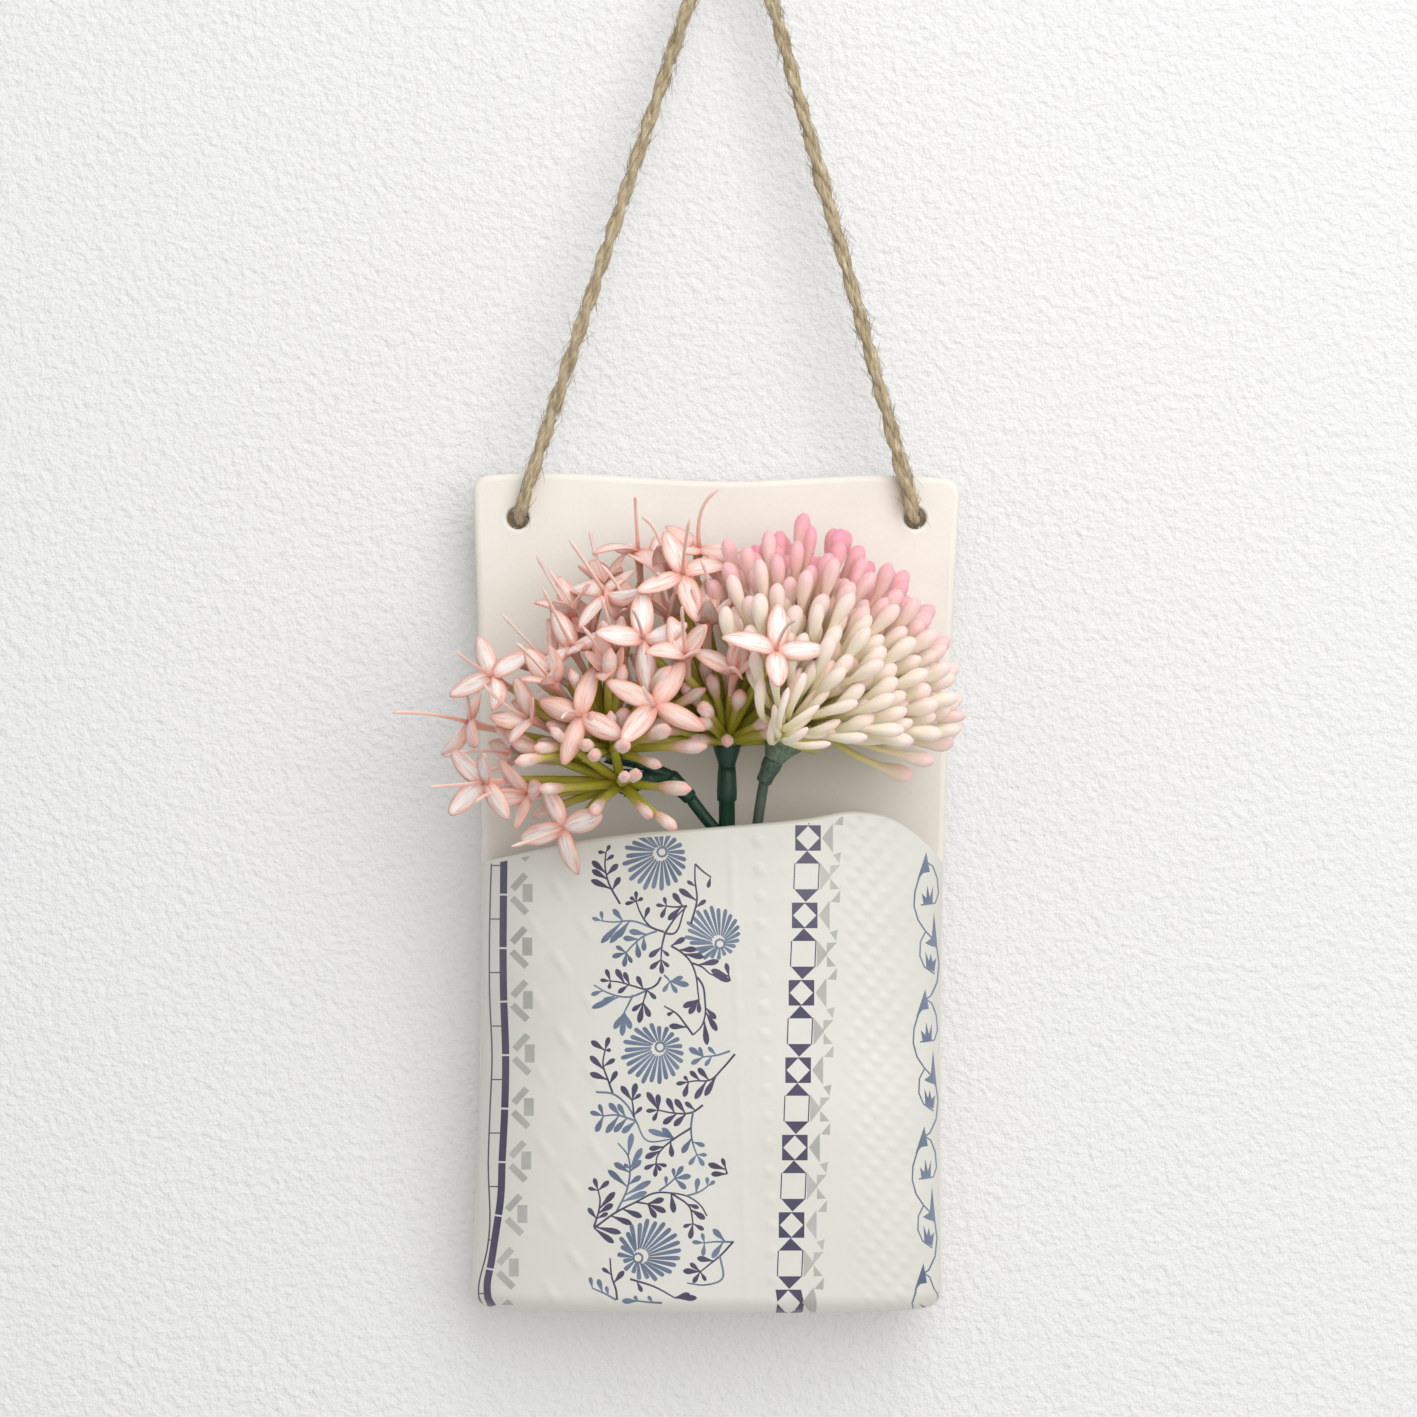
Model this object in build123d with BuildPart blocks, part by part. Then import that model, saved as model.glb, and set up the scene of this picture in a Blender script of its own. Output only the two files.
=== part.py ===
"""A ceramic wall pocket that hangs on a jute cord, with two artificial stems standing in it.

Millimetres. +X is to the right of someone facing the wall, +Y points into the wall and +Z up.
The origin is the point where the cord bears on the top of its hook.
"""

import os
from math import cos, pi, radians, sin, sqrt, tan

from build123d import *

os.makedirs("parts", exist_ok=True)

# Hook and cord
hook_above_holes = 121.4
hook_right_of_centre = 3.3
hook_diameter = 4.0
hook_corner_share = 1.05
cord_diameter = 2.8
cord_fold_radius = 2.8
strand_gap = 0.9
knot_radius = 3.4
knot_gap = 0.4
knot_tail_length = 8.0
knot_tail_taper = 0.9

# Back plate
plate_height = 167.0
plate_thickness = 4.5
top_half_width = 49.0
waist_left_half_width = 47.0
waist_right_half_width = 45.6
waist_below_top = 76.0
foot_left_half_width = 49.2
foot_right_half_width = 45.4
top_corner_radius = 3.5
foot_corner_radius = 3.5
plate_edge_round = 1.3
# Dips of the hand-cut top edge, as a share of the half width and a depth
top_edge = [(-1.0, 0.6), (-0.62, 0.0), (0.05, 1.6), (0.7, 0.4), (1.0, 1.4)]

# Cord holes
hole_diameter = 4.4
hole_spacing = 79.5
hole_below_top = 9.0
hole_edge_round = 0.7

# Front pocket
pocket_height = 99.6
pocket_inset = 0.4
pocket_wall = 2.6
pocket_floor = 4.0
mouth_depth = 25.0
foot_depth = 13.0
foot_round = 4.0
left_fullness = 2.2
right_fullness = 2.8
section_steps = 20
round_steps = 6
height_steps = 8
# The wavy rim, as a share of the waist's half width and a drop below its highest point
rim_line = [
    (-1.08, 11.0),
    (-0.44, 4.8),
    (-0.03, 3.2),
    (0.38, 1.4),
    (0.60, 0.0),
    (0.76, 1.8),
    (0.90, 6.6),
    (1.08, 16.0),
]

# Stems and their wire cores
stem_lean = 9.0
stem_seat_gap = 0.3
spray_stem_diameter = 3.4
globe_stem_diameter = 2.2
branch_diameter = 2.3
branch_joint_share = 1.2
wire_diameter = 1.0
wire_clearance = 0.05
spray_stem_taper = 0.94
rod_taper = 0.98
spray_stem_x = 2.0
globe_stem_x = 7.7
# Heights over the rim's highest point
fork_up = -8.0
upper_socket_up = 8.6
spray_wire_up = -12.0
globe_bend_up = -3.0
globe_wire_up = -8.0

# Star florets, umbels and buds
petal_length = 9.6
petal_width = 4.3
petal_thickness = 0.7
petal_rise = 14.0
tube_length = 7.0
tube_diameter = 2.2
pistil_length = 10.0
pistil_diameter = 0.6
pistil_tip_share = 0.6
spoke_diameter = 1.5
spoke_root_share = 1.35
hub_diameter = 4.4
socket_length = 4.6
socket_diameter = 5.4
socket_base_share = 0.62
bud_length = 6.0
bud_diameter = 2.6
bud_belly_share = 0.6
bud_tip_share = 0.6
bud_reach = 12.0
bud_reach_spread = 7.0
bud_free_share = 0.55
bud_spread = 78.0
petal_outline_share = 0.45
spray_clearance = 0.5

# Globe flower
globe_height = 40.0
globe_reach = 34.5
globe_core_diameter = 15.0
globe_hub_share = 0.30
globe_directions = 380
globe_lowest = -0.16
club_diameter = 3.6
club_stalk_diameter = 1.1
club_tip_length = 8.0
club_root_share = 0.4
club_root_taper = 0.8
club_belly_share = 0.30
club_end_share = 0.55
club_reach_spread = 0.20
club_wall_gap = 2.5
# The side that leans on the spray: its distance from the hub, and how it slants outward with height
globe_side = 7.5
globe_side_slant = 0.37
# Tips of the petals that droop on the right: right of the hub, forward and up
drooping_tips = [
    (21.5, 8.0, -11.0),
    (24.0, 15.0, -8.0),
    (29.2, 10.0, -4.7),
    (33.0, 5.0, 0.5),
]
collar_length = 5.0
collar_diameter = 4.0
collar_base_share = 0.7
calyx_length = 4.6
calyx_diameter = 9.6

golden_angle = pi * (3.0 - sqrt(5.0))

# Places that follow from the sizes
cord_radius = cord_diameter / 2
hole_radius = hole_diameter / 2
plate_x = -hook_right_of_centre
plate_back = 0.0
plate_front = plate_back - plate_thickness
hole_z = -hook_above_holes
plate_top = hole_z + hole_below_top
plate_bottom = plate_top - plate_height
pocket_foot = plate_bottom + pocket_inset
rim_peak = pocket_foot + pocket_height
floor_z = pocket_foot + pocket_floor
above_rim = rim_peak + pocket_wall
above_pocket = above_rim + pocket_wall
hole_x = [plate_x - hole_spacing / 2, plate_x + hole_spacing / 2]


def save(part, name):
    """Labels a finished piece and writes it under its own name."""
    part.label = name
    export_step(part, f"parts/{name}.step")


def at(x, forward, up):
    """A point measured from the plate's centre line, its front face and the rim's highest point."""
    return Vector(plate_x + x, plate_front - forward, rim_peak + up)


def toward(x, forward, up):
    """A direction in the same three measures."""
    return Vector(x, -forward, up).normalized()


def rod(start, end, start_radius, end_radius):
    """A straight tapered rod between two points."""
    axis = end - start
    with BuildPart(Plane(origin=start, z_dir=axis)) as piece:
        Cone(start_radius, end_radius, axis.length, align=(Align.CENTER, Align.CENTER, Align.MIN))
    return piece.part


def segment_gap(a0, a1, b0, b1):
    """The least distance between two straight segments."""
    u = a1 - a0
    v = b1 - b0
    w = a0 - b0
    uu, uv, vv = u.dot(u), u.dot(v), v.dot(v)
    uw, vw = u.dot(w), v.dot(w)
    spread = uu * vv - uv * uv
    s = min(max((uv * vw - vv * uw) / spread, 0.0), 1.0) if spread > 1e-9 else 0.0
    t = min(max((uv * s + vw) / vv, 0.0), 1.0)
    s = min(max((uv * t - uw) / uu, 0.0), 1.0)
    return (w + u * s - v * t).length


# Back plate


def plate_edge(side, z):
    """The x of the plate's left (-1) or right (1) edge at a height: a long curve drawn in at the waist."""
    drop = plate_top - z
    waist_half_width = waist_left_half_width if side < 0 else waist_right_half_width
    foot_half_width = foot_left_half_width if side < 0 else foot_right_half_width
    top_share = (drop - waist_below_top) * (drop - plate_height) / (waist_below_top * plate_height)
    waist_share = drop * (plate_height - drop) / (waist_below_top * (plate_height - waist_below_top))
    foot_share = drop * (drop - waist_below_top) / (plate_height * (plate_height - waist_below_top))
    half = top_half_width * top_share + waist_half_width * waist_share + foot_half_width * foot_share
    return plate_x + side * half


top_points = [(plate_x + share * top_half_width, plate_top - dip) for share, dip in top_edge]
side_shares = [0.25, 0.5, 0.75]

with BuildPart() as back_plate:
    with BuildSketch(Plane.XZ.offset(-plate_back)):
        with BuildLine():
            top_line = Spline(*top_points)
            feet = []
            for side, corner in ((-1, top_line @ 0), (1, top_line @ 1)):
                heights = [corner.Y + (plate_bottom - corner.Y) * share for share in side_shares]
                foot = (plate_edge(side, plate_bottom), plate_bottom)
                Spline(corner, *[(plate_edge(side, z), z) for z in heights], foot)
                feet.append(foot)
            Line(*feet)
        make_face()
        with Locations(*[(x, hole_z) for x in hole_x]):
            Circle(hole_radius, mode=Mode.SUBTRACT)
    extrude(amount=plate_thickness)
    fillet(back_plate.edges().filter_by(Axis.Y).sort_by(Axis.Z)[-2:], top_corner_radius)
    fillet(back_plate.edges().filter_by(Axis.Y).sort_by(Axis.Z)[:2], foot_corner_radius)
    outer_faces = back_plate.faces().sort_by(Axis.Y)
    fillet(outer_faces[0].outer_wire().edges() + outer_faces[-1].outer_wire().edges(), plate_edge_round)
    hole_rims = back_plate.edges().filter_by(GeomType.CIRCLE)
    fillet(hole_rims.filter_by(lambda edge: abs(edge.radius - hole_radius) < 1e-4), hole_edge_round)
save(back_plate.part, "back_plate")


# Front pocket


def foot_draw(rise, radius):
    """How far a rounded foot draws in at a height above it."""
    if rise >= radius:
        return 0.0
    return radius - sqrt(radius**2 - (radius - rise) ** 2)


def pocket_depth(z):
    """How far the pocket's outside would stand in front of the plate with a square foot."""
    share = min((z - pocket_foot) / pocket_height, 1.0)
    return foot_depth + (mouth_depth - foot_depth) * (1.0 - (1.0 - share) ** 2)


def pocket_section(z, foot, inset, depth_loss, rounding):
    """Points of the pocket's bulged outline at one height, from the left edge to the right one."""
    draw = foot_draw(z - foot, rounding)
    left = plate_edge(-1, z) + inset + draw
    right = plate_edge(1, z) - inset - draw
    depth = pocket_depth(z) - depth_loss - draw
    points = []
    for k in range(section_steps + 1):
        across = -cos(pi * k / section_steps)
        fullness = left_fullness if across < 0 else right_fullness
        bulge = (1.0 - abs(across) ** fullness) ** (1.0 / fullness)
        points.append(((left + right) / 2 + across * (right - left) / 2, plate_front - depth * bulge))
    return points


def pocket_body(foot, inset, depth_loss, rounding, behind):
    """The solid under the bulge, reaching behind the plate's front face where asked."""
    round_top = foot + rounding
    heights = [round_top - rounding * cos(pi / 2 * k / round_steps) for k in range(round_steps + 1)]
    heights += [round_top + (above_rim - round_top) * (k + 1) / height_steps for k in range(height_steps)]
    with BuildPart() as body:
        for z in heights:
            points = pocket_section(z, foot, inset, depth_loss, rounding)
            first, last = points[0], points[-1]
            back = plate_front + behind
            with BuildSketch(Plane.XY.offset(z)):
                with BuildLine():
                    Spline(*points)
                    if behind > 0:
                        Polyline(first, (first[0], back), (last[0], back), last)
                    else:
                        Line(first, last)
                make_face()
        loft(ruled=True)
    return body.part


pocket_outside = pocket_body(pocket_foot, pocket_inset, 0.0, foot_round, 0.0)
pocket_inside = pocket_body(
    floor_z, pocket_inset + pocket_wall, pocket_wall, foot_round - pocket_wall, plate_thickness / 2
)
rim_half_width = (waist_left_half_width + waist_right_half_width) / 2
rim_points = [(plate_x + share * rim_half_width, rim_peak - drop) for share, drop in rim_line]

with BuildPart() as front_pocket:
    add(pocket_outside)
    add(pocket_inside, mode=Mode.SUBTRACT)
    with BuildSketch(Plane.XZ.offset(-plate_front)):
        with BuildLine():
            Spline(*rim_points)
            first, last = rim_points[0], rim_points[-1]
            Polyline(first, (first[0], above_pocket), (last[0], above_pocket), last)
        make_face()
    extrude(amount=2 * mouth_depth, both=True, mode=Mode.SUBTRACT)
save(front_pocket.part, "front_pocket")


# Hanging cord and its knots

knot_y = plate_back + knot_gap + knot_radius
strand_y = plate_front - strand_gap - cord_radius
hook_bend_radius = hook_diameter / 2 + cord_radius
apex = Vector(0, 0, cord_radius)
hook_corners = []
for side, x in zip((-1, 1), hole_x):
    strand = apex - Vector(x, strand_y, hole_z)
    turn = Vector(-side, 0, 0).get_angle(strand)
    half_flat = hook_corner_share * hook_bend_radius * tan(radians(turn / 2))
    hook_corners.append(apex + Vector(side * half_flat, 0, 0))
cord_route = [
    Vector(hole_x[0], knot_y, hole_z),
    Vector(hole_x[0], strand_y, hole_z),
    hook_corners[0],
    hook_corners[1],
    Vector(hole_x[1], strand_y, hole_z),
    Vector(hole_x[1], knot_y, hole_z),
]
cord_radii = [cord_fold_radius, hook_bend_radius, hook_bend_radius, cord_fold_radius]

with BuildPart() as jute_cord:
    with BuildLine() as cord_path:
        FilletPolyline(*cord_route, radius=cord_radii)
    with BuildSketch(Plane(origin=cord_route[0], z_dir=(0, -1, 0))):
        Circle(cord_radius)
    sweep()
save(jute_cord.part, "jute_cord")

cord_length = sum(edge.length for edge in cord_path.edges())
print("cord bend radii", cord_radii)
print("cord length", round(cord_length, 1))
cord_ratio = jute_cord.part.volume / (pi * cord_radius**2 * cord_length)
print("cord volume over section times length", round(cord_ratio, 4))

for name, x in zip(("knot_left", "knot_right"), hole_x):
    centre = Vector(x, knot_y, hole_z)
    tail_end = centre - Vector(0, 0, knot_radius + knot_tail_length)
    with BuildPart() as knot:
        with Locations(centre):
            Sphere(knot_radius)
        add(rod(centre, tail_end, cord_radius, knot_tail_taper * cord_radius))
    save(knot.part, name)


# Stems: each foot stands on the pocket's floor and leans forward through the mouth

lean = radians(stem_lean)
lift_axis = Vector(0, -sin(lean), cos(lean))


def stem_foot(x, diameter):
    """Where a stem's axis starts, just clear of the plate and of the pocket's floor."""
    radius = diameter / 2
    foot_z = floor_z + stem_seat_gap + radius * sin(lean)
    return Vector(plate_x + x, plate_front - stem_seat_gap - radius / cos(lean), foot_z)


def along_stem(foot, up):
    """The point of a leaning stem's axis at a height over the rim's highest point."""
    return foot + lift_axis * ((rim_peak + up - foot.Z) / cos(lean))


spray_foot = stem_foot(spray_stem_x, spray_stem_diameter)
fork = along_stem(spray_foot, fork_up)
upper_socket = along_stem(spray_foot, upper_socket_up)
branch_bend = at(-7.0, 20.0, 5.2)
branch_node = at(-9.3, 21.0, 6.8)
lower_socket = at(-14.0, 23.2, 6.1)
left_socket = at(-16.4, 23.6, 10.0)
sockets = {
    "upper": (upper_socket, lift_axis),
    "left": (left_socket, (left_socket - branch_node).normalized()),
    "lower": (lower_socket, (lower_socket - branch_node).normalized()),
}
hubs = {name: base + axis * socket_length for name, (base, axis) in sockets.items()}

spray_radius = spray_stem_diameter / 2
branch_radius = branch_diameter / 2
wire_radius = wire_diameter / 2
wire_end = along_stem(spray_foot, spray_wire_up)
branches = [
    (fork, branch_bend),
    (branch_bend, branch_node),
    (branch_node, left_socket),
    (branch_node, lower_socket),
]


def wire_bore(foot, end):
    """Cuts the bore for a wire core into the stem that is being built."""
    with Locations(Plane(origin=foot, z_dir=lift_axis)):
        Cylinder(
            wire_radius + wire_clearance,
            (end - foot).length,
            align=(Align.CENTER, Align.CENTER, Align.MIN),
            mode=Mode.SUBTRACT,
        )


with BuildPart() as spray_stem:
    add(rod(spray_foot, upper_socket, spray_radius, spray_stem_taper * spray_radius))
    add([rod(start, end, branch_radius, rod_taper * branch_radius) for start, end in branches])
    with Locations(branch_bend, branch_node):
        Sphere(branch_joint_share * branch_radius)
    wire_bore(spray_foot, wire_end)
save(spray_stem.part, "spray_stem")

spray_wire = rod(spray_foot, wire_end, wire_radius, rod_taper * wire_radius)
save(spray_wire, "spray_wire")

for name, (base, axis) in sockets.items():
    top_radius = socket_diameter / 2
    socket = rod(base, base + axis * socket_length, socket_base_share * top_radius, top_radius)
    save(socket, f"socket_{name}")


# Globe flower: stem, collar and calyx

globe_radius = globe_stem_diameter / 2
globe_foot = stem_foot(globe_stem_x, globe_stem_diameter)
globe_bend = along_stem(globe_foot, globe_bend_up)
globe_neck = at(9.1, 17.6, 5.4)
globe_wire_end = along_stem(globe_foot, globe_wire_up)
head_axis = toward(0.42, 0.12, 0.90)
collar_top = globe_neck + head_axis * collar_length
calyx_top = collar_top + head_axis * calyx_length
globe_hub = calyx_top + head_axis * (globe_hub_share * globe_core_diameter)

with BuildPart() as globe_stem:
    add(rod(globe_foot, globe_bend, globe_radius, rod_taper * globe_radius))
    add(rod(globe_bend, globe_neck, globe_radius, rod_taper * globe_radius))
    with Locations(globe_bend):
        Sphere(globe_radius)
    wire_bore(globe_foot, globe_wire_end)
save(globe_stem.part, "globe_stem")

globe_wire = rod(globe_foot, globe_wire_end, wire_radius, rod_taper * wire_radius)
save(globe_wire, "globe_wire")

collar_radius = collar_diameter / 2
globe_collar = rod(globe_neck, collar_top, collar_base_share * collar_radius, collar_radius)
save(globe_collar, "globe_collar")

globe_calyx = rod(collar_top, calyx_top, collar_radius, calyx_diameter / 2)
save(globe_calyx, "globe_calyx")


# Star florets: place of each star's centre, the way it faces, and how far it is turned about that in degrees

florets = {
    "upper": [
        (at(-14.1, 37, 33.3), toward(-0.10, 0.90, 0.40), 5),
        (at(-11.9, 41, 20.6), toward(-0.10, 0.98, 0.10), 60),
        (at(-6.5, 32, 45.8), toward(0.05, 0.80, 0.60), 25),
        (at(-3.4, 20, 51.2), toward(0.05, 0.40, 0.90), 45),
        (at(11.1, 50, 30.9), toward(0.20, 0.85, 0.50), 0),
    ],
    "left": [
        (at(-43.5, 27.5, 26.2), toward(-0.45, 0.80, 0.30), 35),
        (at(-27.8, 31, 31.9), toward(-0.35, 0.60, 0.70), 20),
        (at(-26.1, 37, 18.5), toward(-0.20, 0.95, 0.10), 70),
        (at(-48.4, 20, 17.2), toward(-0.90, 0.35, 0.20), 55),
        (at(-21.6, 27, 42.2), toward(-0.45, 0.55, 0.70), 60),
        (at(-15.4, 15, 51.0), toward(-0.05, 0.35, 0.93), 30),
    ],
    "lower": [
        (at(-44.9, 31, 5.7), toward(-0.60, 0.75, -0.05), 45),
        (at(-29.8, 31, -3.1), toward(-0.50, 0.80, -0.20), 10),
    ],
}
# Buds: the way each umbel points, how many places its buds may take, and how far a tip may hang below the hub
bud_axes = {
    "upper": (toward(0.05, 0.60, 0.80), 30, 2.0),
    "left": (toward(-0.55, 0.60, 0.55), 22, 4.0),
    "lower": (toward(-0.60, 0.75, -0.05), 12, 9.0),
}


def star_plane(centre, facing, turn):
    """The plane that a star's floret is built on."""
    level = Plane(origin=centre, z_dir=facing)
    across = level.x_dir * cos(radians(turn)) + level.y_dir * sin(radians(turn))
    return Plane(origin=centre, x_dir=across, z_dir=facing)


def petal_planes(star):
    """The planes of a star's four petals, each petal lying along local x."""
    rise = radians(petal_rise)
    planes = []
    for k in range(4):
        angle = k * pi / 2
        outward = star.x_dir * cos(angle) + star.y_dir * sin(angle)
        lengthwise = outward * cos(rise) + star.z_dir * sin(rise)
        upright = star.z_dir * cos(rise) - outward * sin(rise)
        planes.append(Plane(origin=star.origin, x_dir=lengthwise, z_dir=upright))
    return planes


def tube_base(centre, facing):
    """Where a floret's tube is pushed on to its spoke."""
    return centre - facing * tube_length


# Straight outlines of the pieces with their radii, for keeping buds and petals clear of each other
spray_outline = []
globe_outline = [
    (globe_neck, collar_top, collar_radius),
    (collar_top, calyx_top, calyx_diameter / 2),
    (calyx_top, globe_hub, globe_core_diameter / 2),
]
for name, stars in florets.items():
    for centre, facing, turn in stars:
        base = tube_base(centre, facing)
        spray_outline.append((hubs[name], base, spoke_diameter / 2))
        spray_outline.append((base, centre + facing * pistil_length, tube_diameter / 2))
        for plane in petal_planes(star_plane(centre, facing, turn)):
            petal_tip = centre + plane.x_dir * petal_length
            spray_outline.append((centre, petal_tip, petal_outline_share * petal_width))


def is_clear(start, end, radius, outline):
    """Whether a straight piece keeps its distance from every outline."""
    return all(
        segment_gap(start, end, other_start, other_end) > radius + other_radius + spray_clearance
        for other_start, other_end, other_radius in outline
    )


buds = {name: [] for name in hubs}
for name, (axis, tries, hang) in bud_axes.items():
    hub_plane = Plane(origin=hubs[name], z_dir=axis)
    for k in range(tries):
        tilt = radians(bud_spread) * sqrt((k + 0.5) / tries)
        sideways = hub_plane.x_dir * cos(k * golden_angle) + hub_plane.y_dir * sin(k * golden_angle)
        direction = axis * cos(tilt) + sideways * sin(tilt)
        reach = bud_reach + bud_reach_spread * ((k * golden_angle) % 1.0)
        tip = hubs[name] + direction * (reach + bud_length)
        outer_half = hubs[name] + direction * (bud_free_share * reach)
        if tip.Z < hubs[name].Z - hang:
            continue
        if is_clear(outer_half, tip, bud_diameter / 2, spray_outline + globe_outline):
            buds[name].append((direction, reach))
            spray_outline.append((outer_half, tip, bud_diameter / 2))

spoke_radius = spoke_diameter / 2
spoke_root_radius = spoke_root_share * spoke_radius
bud_radius = bud_diameter / 2
pistil_radius = pistil_diameter / 2


def bud(hub, direction, reach):
    """The solids of one spoke with a closed bud on its end."""
    neck = hub + direction * reach
    belly = neck + direction * (bud_belly_share * bud_length)
    return [
        rod(hub, neck, spoke_root_radius, spoke_radius),
        rod(neck, belly, spoke_radius, bud_radius),
        rod(belly, neck + direction * bud_length, bud_radius, bud_tip_share * bud_radius),
    ]


def petal(plane):
    """One flat petal with a pointed tip, lying along its plane's local x."""
    with BuildPart() as blade:
        with BuildSketch(plane):
            with BuildLine():
                ThreePointArc((0, 0), (petal_length / 2, petal_width / 2), (petal_length, 0))
                ThreePointArc((petal_length, 0), (petal_length / 2, -petal_width / 2), (0, 0))
            make_face()
        extrude(amount=petal_thickness / 2, both=True)
    return blade.part


with BuildPart() as floret:
    with Locations((0, 0, -tube_length)):
        Cone(
            spoke_radius,
            tube_diameter / 2,
            tube_length,
            align=(Align.CENTER, Align.CENTER, Align.MIN),
        )
    add([petal(plane) for plane in petal_planes(Plane.XY)])
    Cone(
        pistil_radius,
        pistil_tip_share * pistil_radius,
        pistil_length,
        align=(Align.CENTER, Align.CENTER, Align.MIN),
    )


for name, hub in hubs.items():
    with BuildPart() as umbel:
        with Locations(hub):
            Sphere(hub_diameter / 2)
        ends = [tube_base(centre, facing) for centre, facing, turn in florets[name]]
        add([rod(hub, end, spoke_root_radius, spoke_radius) for end in ends])
        add([solid for direction, reach in buds[name] for solid in bud(hub, direction, reach)])
    save(umbel.part, f"umbel_{name}")

    with BuildPart() as group:
        with Locations(*[star_plane(*star) for star in florets[name]]):
            add(floret.part)
    save(group.part, f"florets_{name}")


# Globe flower: the head


def club(direction, reach):
    """One club-shaped petal, thin at the core and swollen near its tip."""
    radial = Plane(origin=globe_hub, z_dir=direction).x_dir
    root = club_root_share * globe_core_diameter
    stalk = club_stalk_diameter / 2
    belly = club_diameter / 2
    with BuildPart() as petal:
        with BuildSketch(Plane(origin=globe_hub, x_dir=radial, z_dir=radial.cross(direction))):
            with BuildLine():
                Polyline(
                    (0, root),
                    (club_root_taper * stalk, root),
                    (stalk, reach - club_tip_length),
                    (belly, reach - club_belly_share * club_tip_length),
                    (club_end_share * belly, reach),
                    (0, reach),
                    close=True,
                )
            make_face()
        revolve(axis=Axis(globe_hub, direction))
    return petal.part


def club_is_clear(direction, reach):
    """Whether a petal stays off the plate, on its own side, and between the pieces of the spray."""
    start = globe_hub + direction * (globe_core_diameter / 2)
    neck = globe_hub + direction * (reach - club_tip_length)
    tip = globe_hub + direction * reach
    if plate_front - tip.Y < club_diameter / 2 + club_wall_gap:
        return False
    if tip.X - globe_hub.X < -globe_side - globe_side_slant * (tip.Z - globe_hub.Z):
        return False
    stalk_clear = is_clear(start, neck, club_stalk_diameter / 2, spray_outline)
    return stalk_clear and is_clear(neck, tip, club_diameter / 2, spray_outline)


clubs = []
for k in range(globe_directions):
    up = 1.0 - (1.0 - globe_lowest) * (k + 0.5) / globe_directions
    flat = sqrt(1.0 - up * up)
    direction = Vector(flat * cos(k * golden_angle), flat * sin(k * golden_angle), up)
    reach = 1.0 / sqrt((flat / globe_reach) ** 2 + (up / globe_height) ** 2)
    reach *= 1.0 - club_reach_spread * ((k * golden_angle) % 1.0)
    if club_is_clear(direction, reach):
        clubs.append(club(direction, reach))
for tip in drooping_tips:
    clubs.append(club(toward(*tip), Vector(tip).length))

with BuildPart() as globe_head:
    with Locations(globe_hub):
        Sphere(globe_core_diameter / 2)
    split(bisect_by=Plane(origin=calyx_top, z_dir=head_axis), keep=Keep.TOP)
    add(clubs)
save(globe_head.part, "globe_head")

print("clubs", len(clubs), "buds", {name: len(kept) for name, kept in buds.items()})
print("hanging line of the holes", [round(v, 2) for v in (plate_x, plate_front / 2, hole_z)])
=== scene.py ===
"""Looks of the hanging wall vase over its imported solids. Lengths are millimetres until a mesh is made."""

import math

import bpy
import numpy as np
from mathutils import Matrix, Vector, geometry


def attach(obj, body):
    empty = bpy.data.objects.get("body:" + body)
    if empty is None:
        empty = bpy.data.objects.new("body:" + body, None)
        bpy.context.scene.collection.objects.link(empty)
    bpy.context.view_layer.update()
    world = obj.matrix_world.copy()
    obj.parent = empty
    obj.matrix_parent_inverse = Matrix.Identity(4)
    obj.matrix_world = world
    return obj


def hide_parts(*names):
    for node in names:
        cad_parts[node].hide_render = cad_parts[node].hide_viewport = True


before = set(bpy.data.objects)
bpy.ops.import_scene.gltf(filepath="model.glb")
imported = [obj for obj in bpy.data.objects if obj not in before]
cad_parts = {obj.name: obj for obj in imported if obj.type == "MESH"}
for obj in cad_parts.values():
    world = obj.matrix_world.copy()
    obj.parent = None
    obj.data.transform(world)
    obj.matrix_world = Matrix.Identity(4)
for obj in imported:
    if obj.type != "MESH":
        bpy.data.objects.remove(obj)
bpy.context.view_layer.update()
draw = np.random.default_rng(7)
MM = 0.001

# The photograph: its middle pixel, the size of a pixel on the plate, and where the camera stands
MIDDLE_PIXEL = 708.5
IMAGE_SIDE = 1417
PIXEL = 0.2
VIEW_X, VIEW_Z, VIEW_DISTANCE = -4.9, -159.5, 800.0
SENSOR_WIDTH = 36.0

# Sizes repeated from the part
PLATE_X, PLATE_FRONT = -3.3, -4.5
PLATE_TOP, PLATE_HEIGHT = -112.4, 167.0
TOP_HALF, WAIST_DROP = 49.0, 76.0
WAIST_HALF = {-1: 47.0, 1: 45.6}
FOOT_HALF = {-1: 49.2, 1: 45.4}
POCKET_FOOT, POCKET_HEIGHT, POCKET_INSET, POCKET_WALL = -279.0, 99.6, 0.4, 2.6
RIM_PEAK = POCKET_FOOT + POCKET_HEIGHT
MOUTH_DEPTH, FOOT_DEPTH, FOOT_ROUND = 25.0, 13.0, 4.0
LEFT_FULLNESS, RIGHT_FULLNESS = 2.2, 2.8
RIM_HALF = (WAIST_HALF[-1] + WAIST_HALF[1]) / 2
RIM_SHARES = [-1.08, -0.44, -0.03, 0.38, 0.60, 0.76, 0.90, 1.08]
RIM_DROPS = [11.0, 4.8, 3.2, 1.4, 0.0, 1.8, 6.6, 16.0]
HOLE_SPACING, HOLE_Z = 79.5, -121.4
GOLDEN = math.pi * (3.0 - math.sqrt(5.0))
# Keeps what someone who faces the wall sees, across and up
FACE_ON = (1.0, 0.0, 1.0)


def unit(v):
    """One direction, or rows of them, with length one."""
    v = np.asarray(v, float)
    return v / np.linalg.norm(v, axis=-1, keepdims=True)


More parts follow.
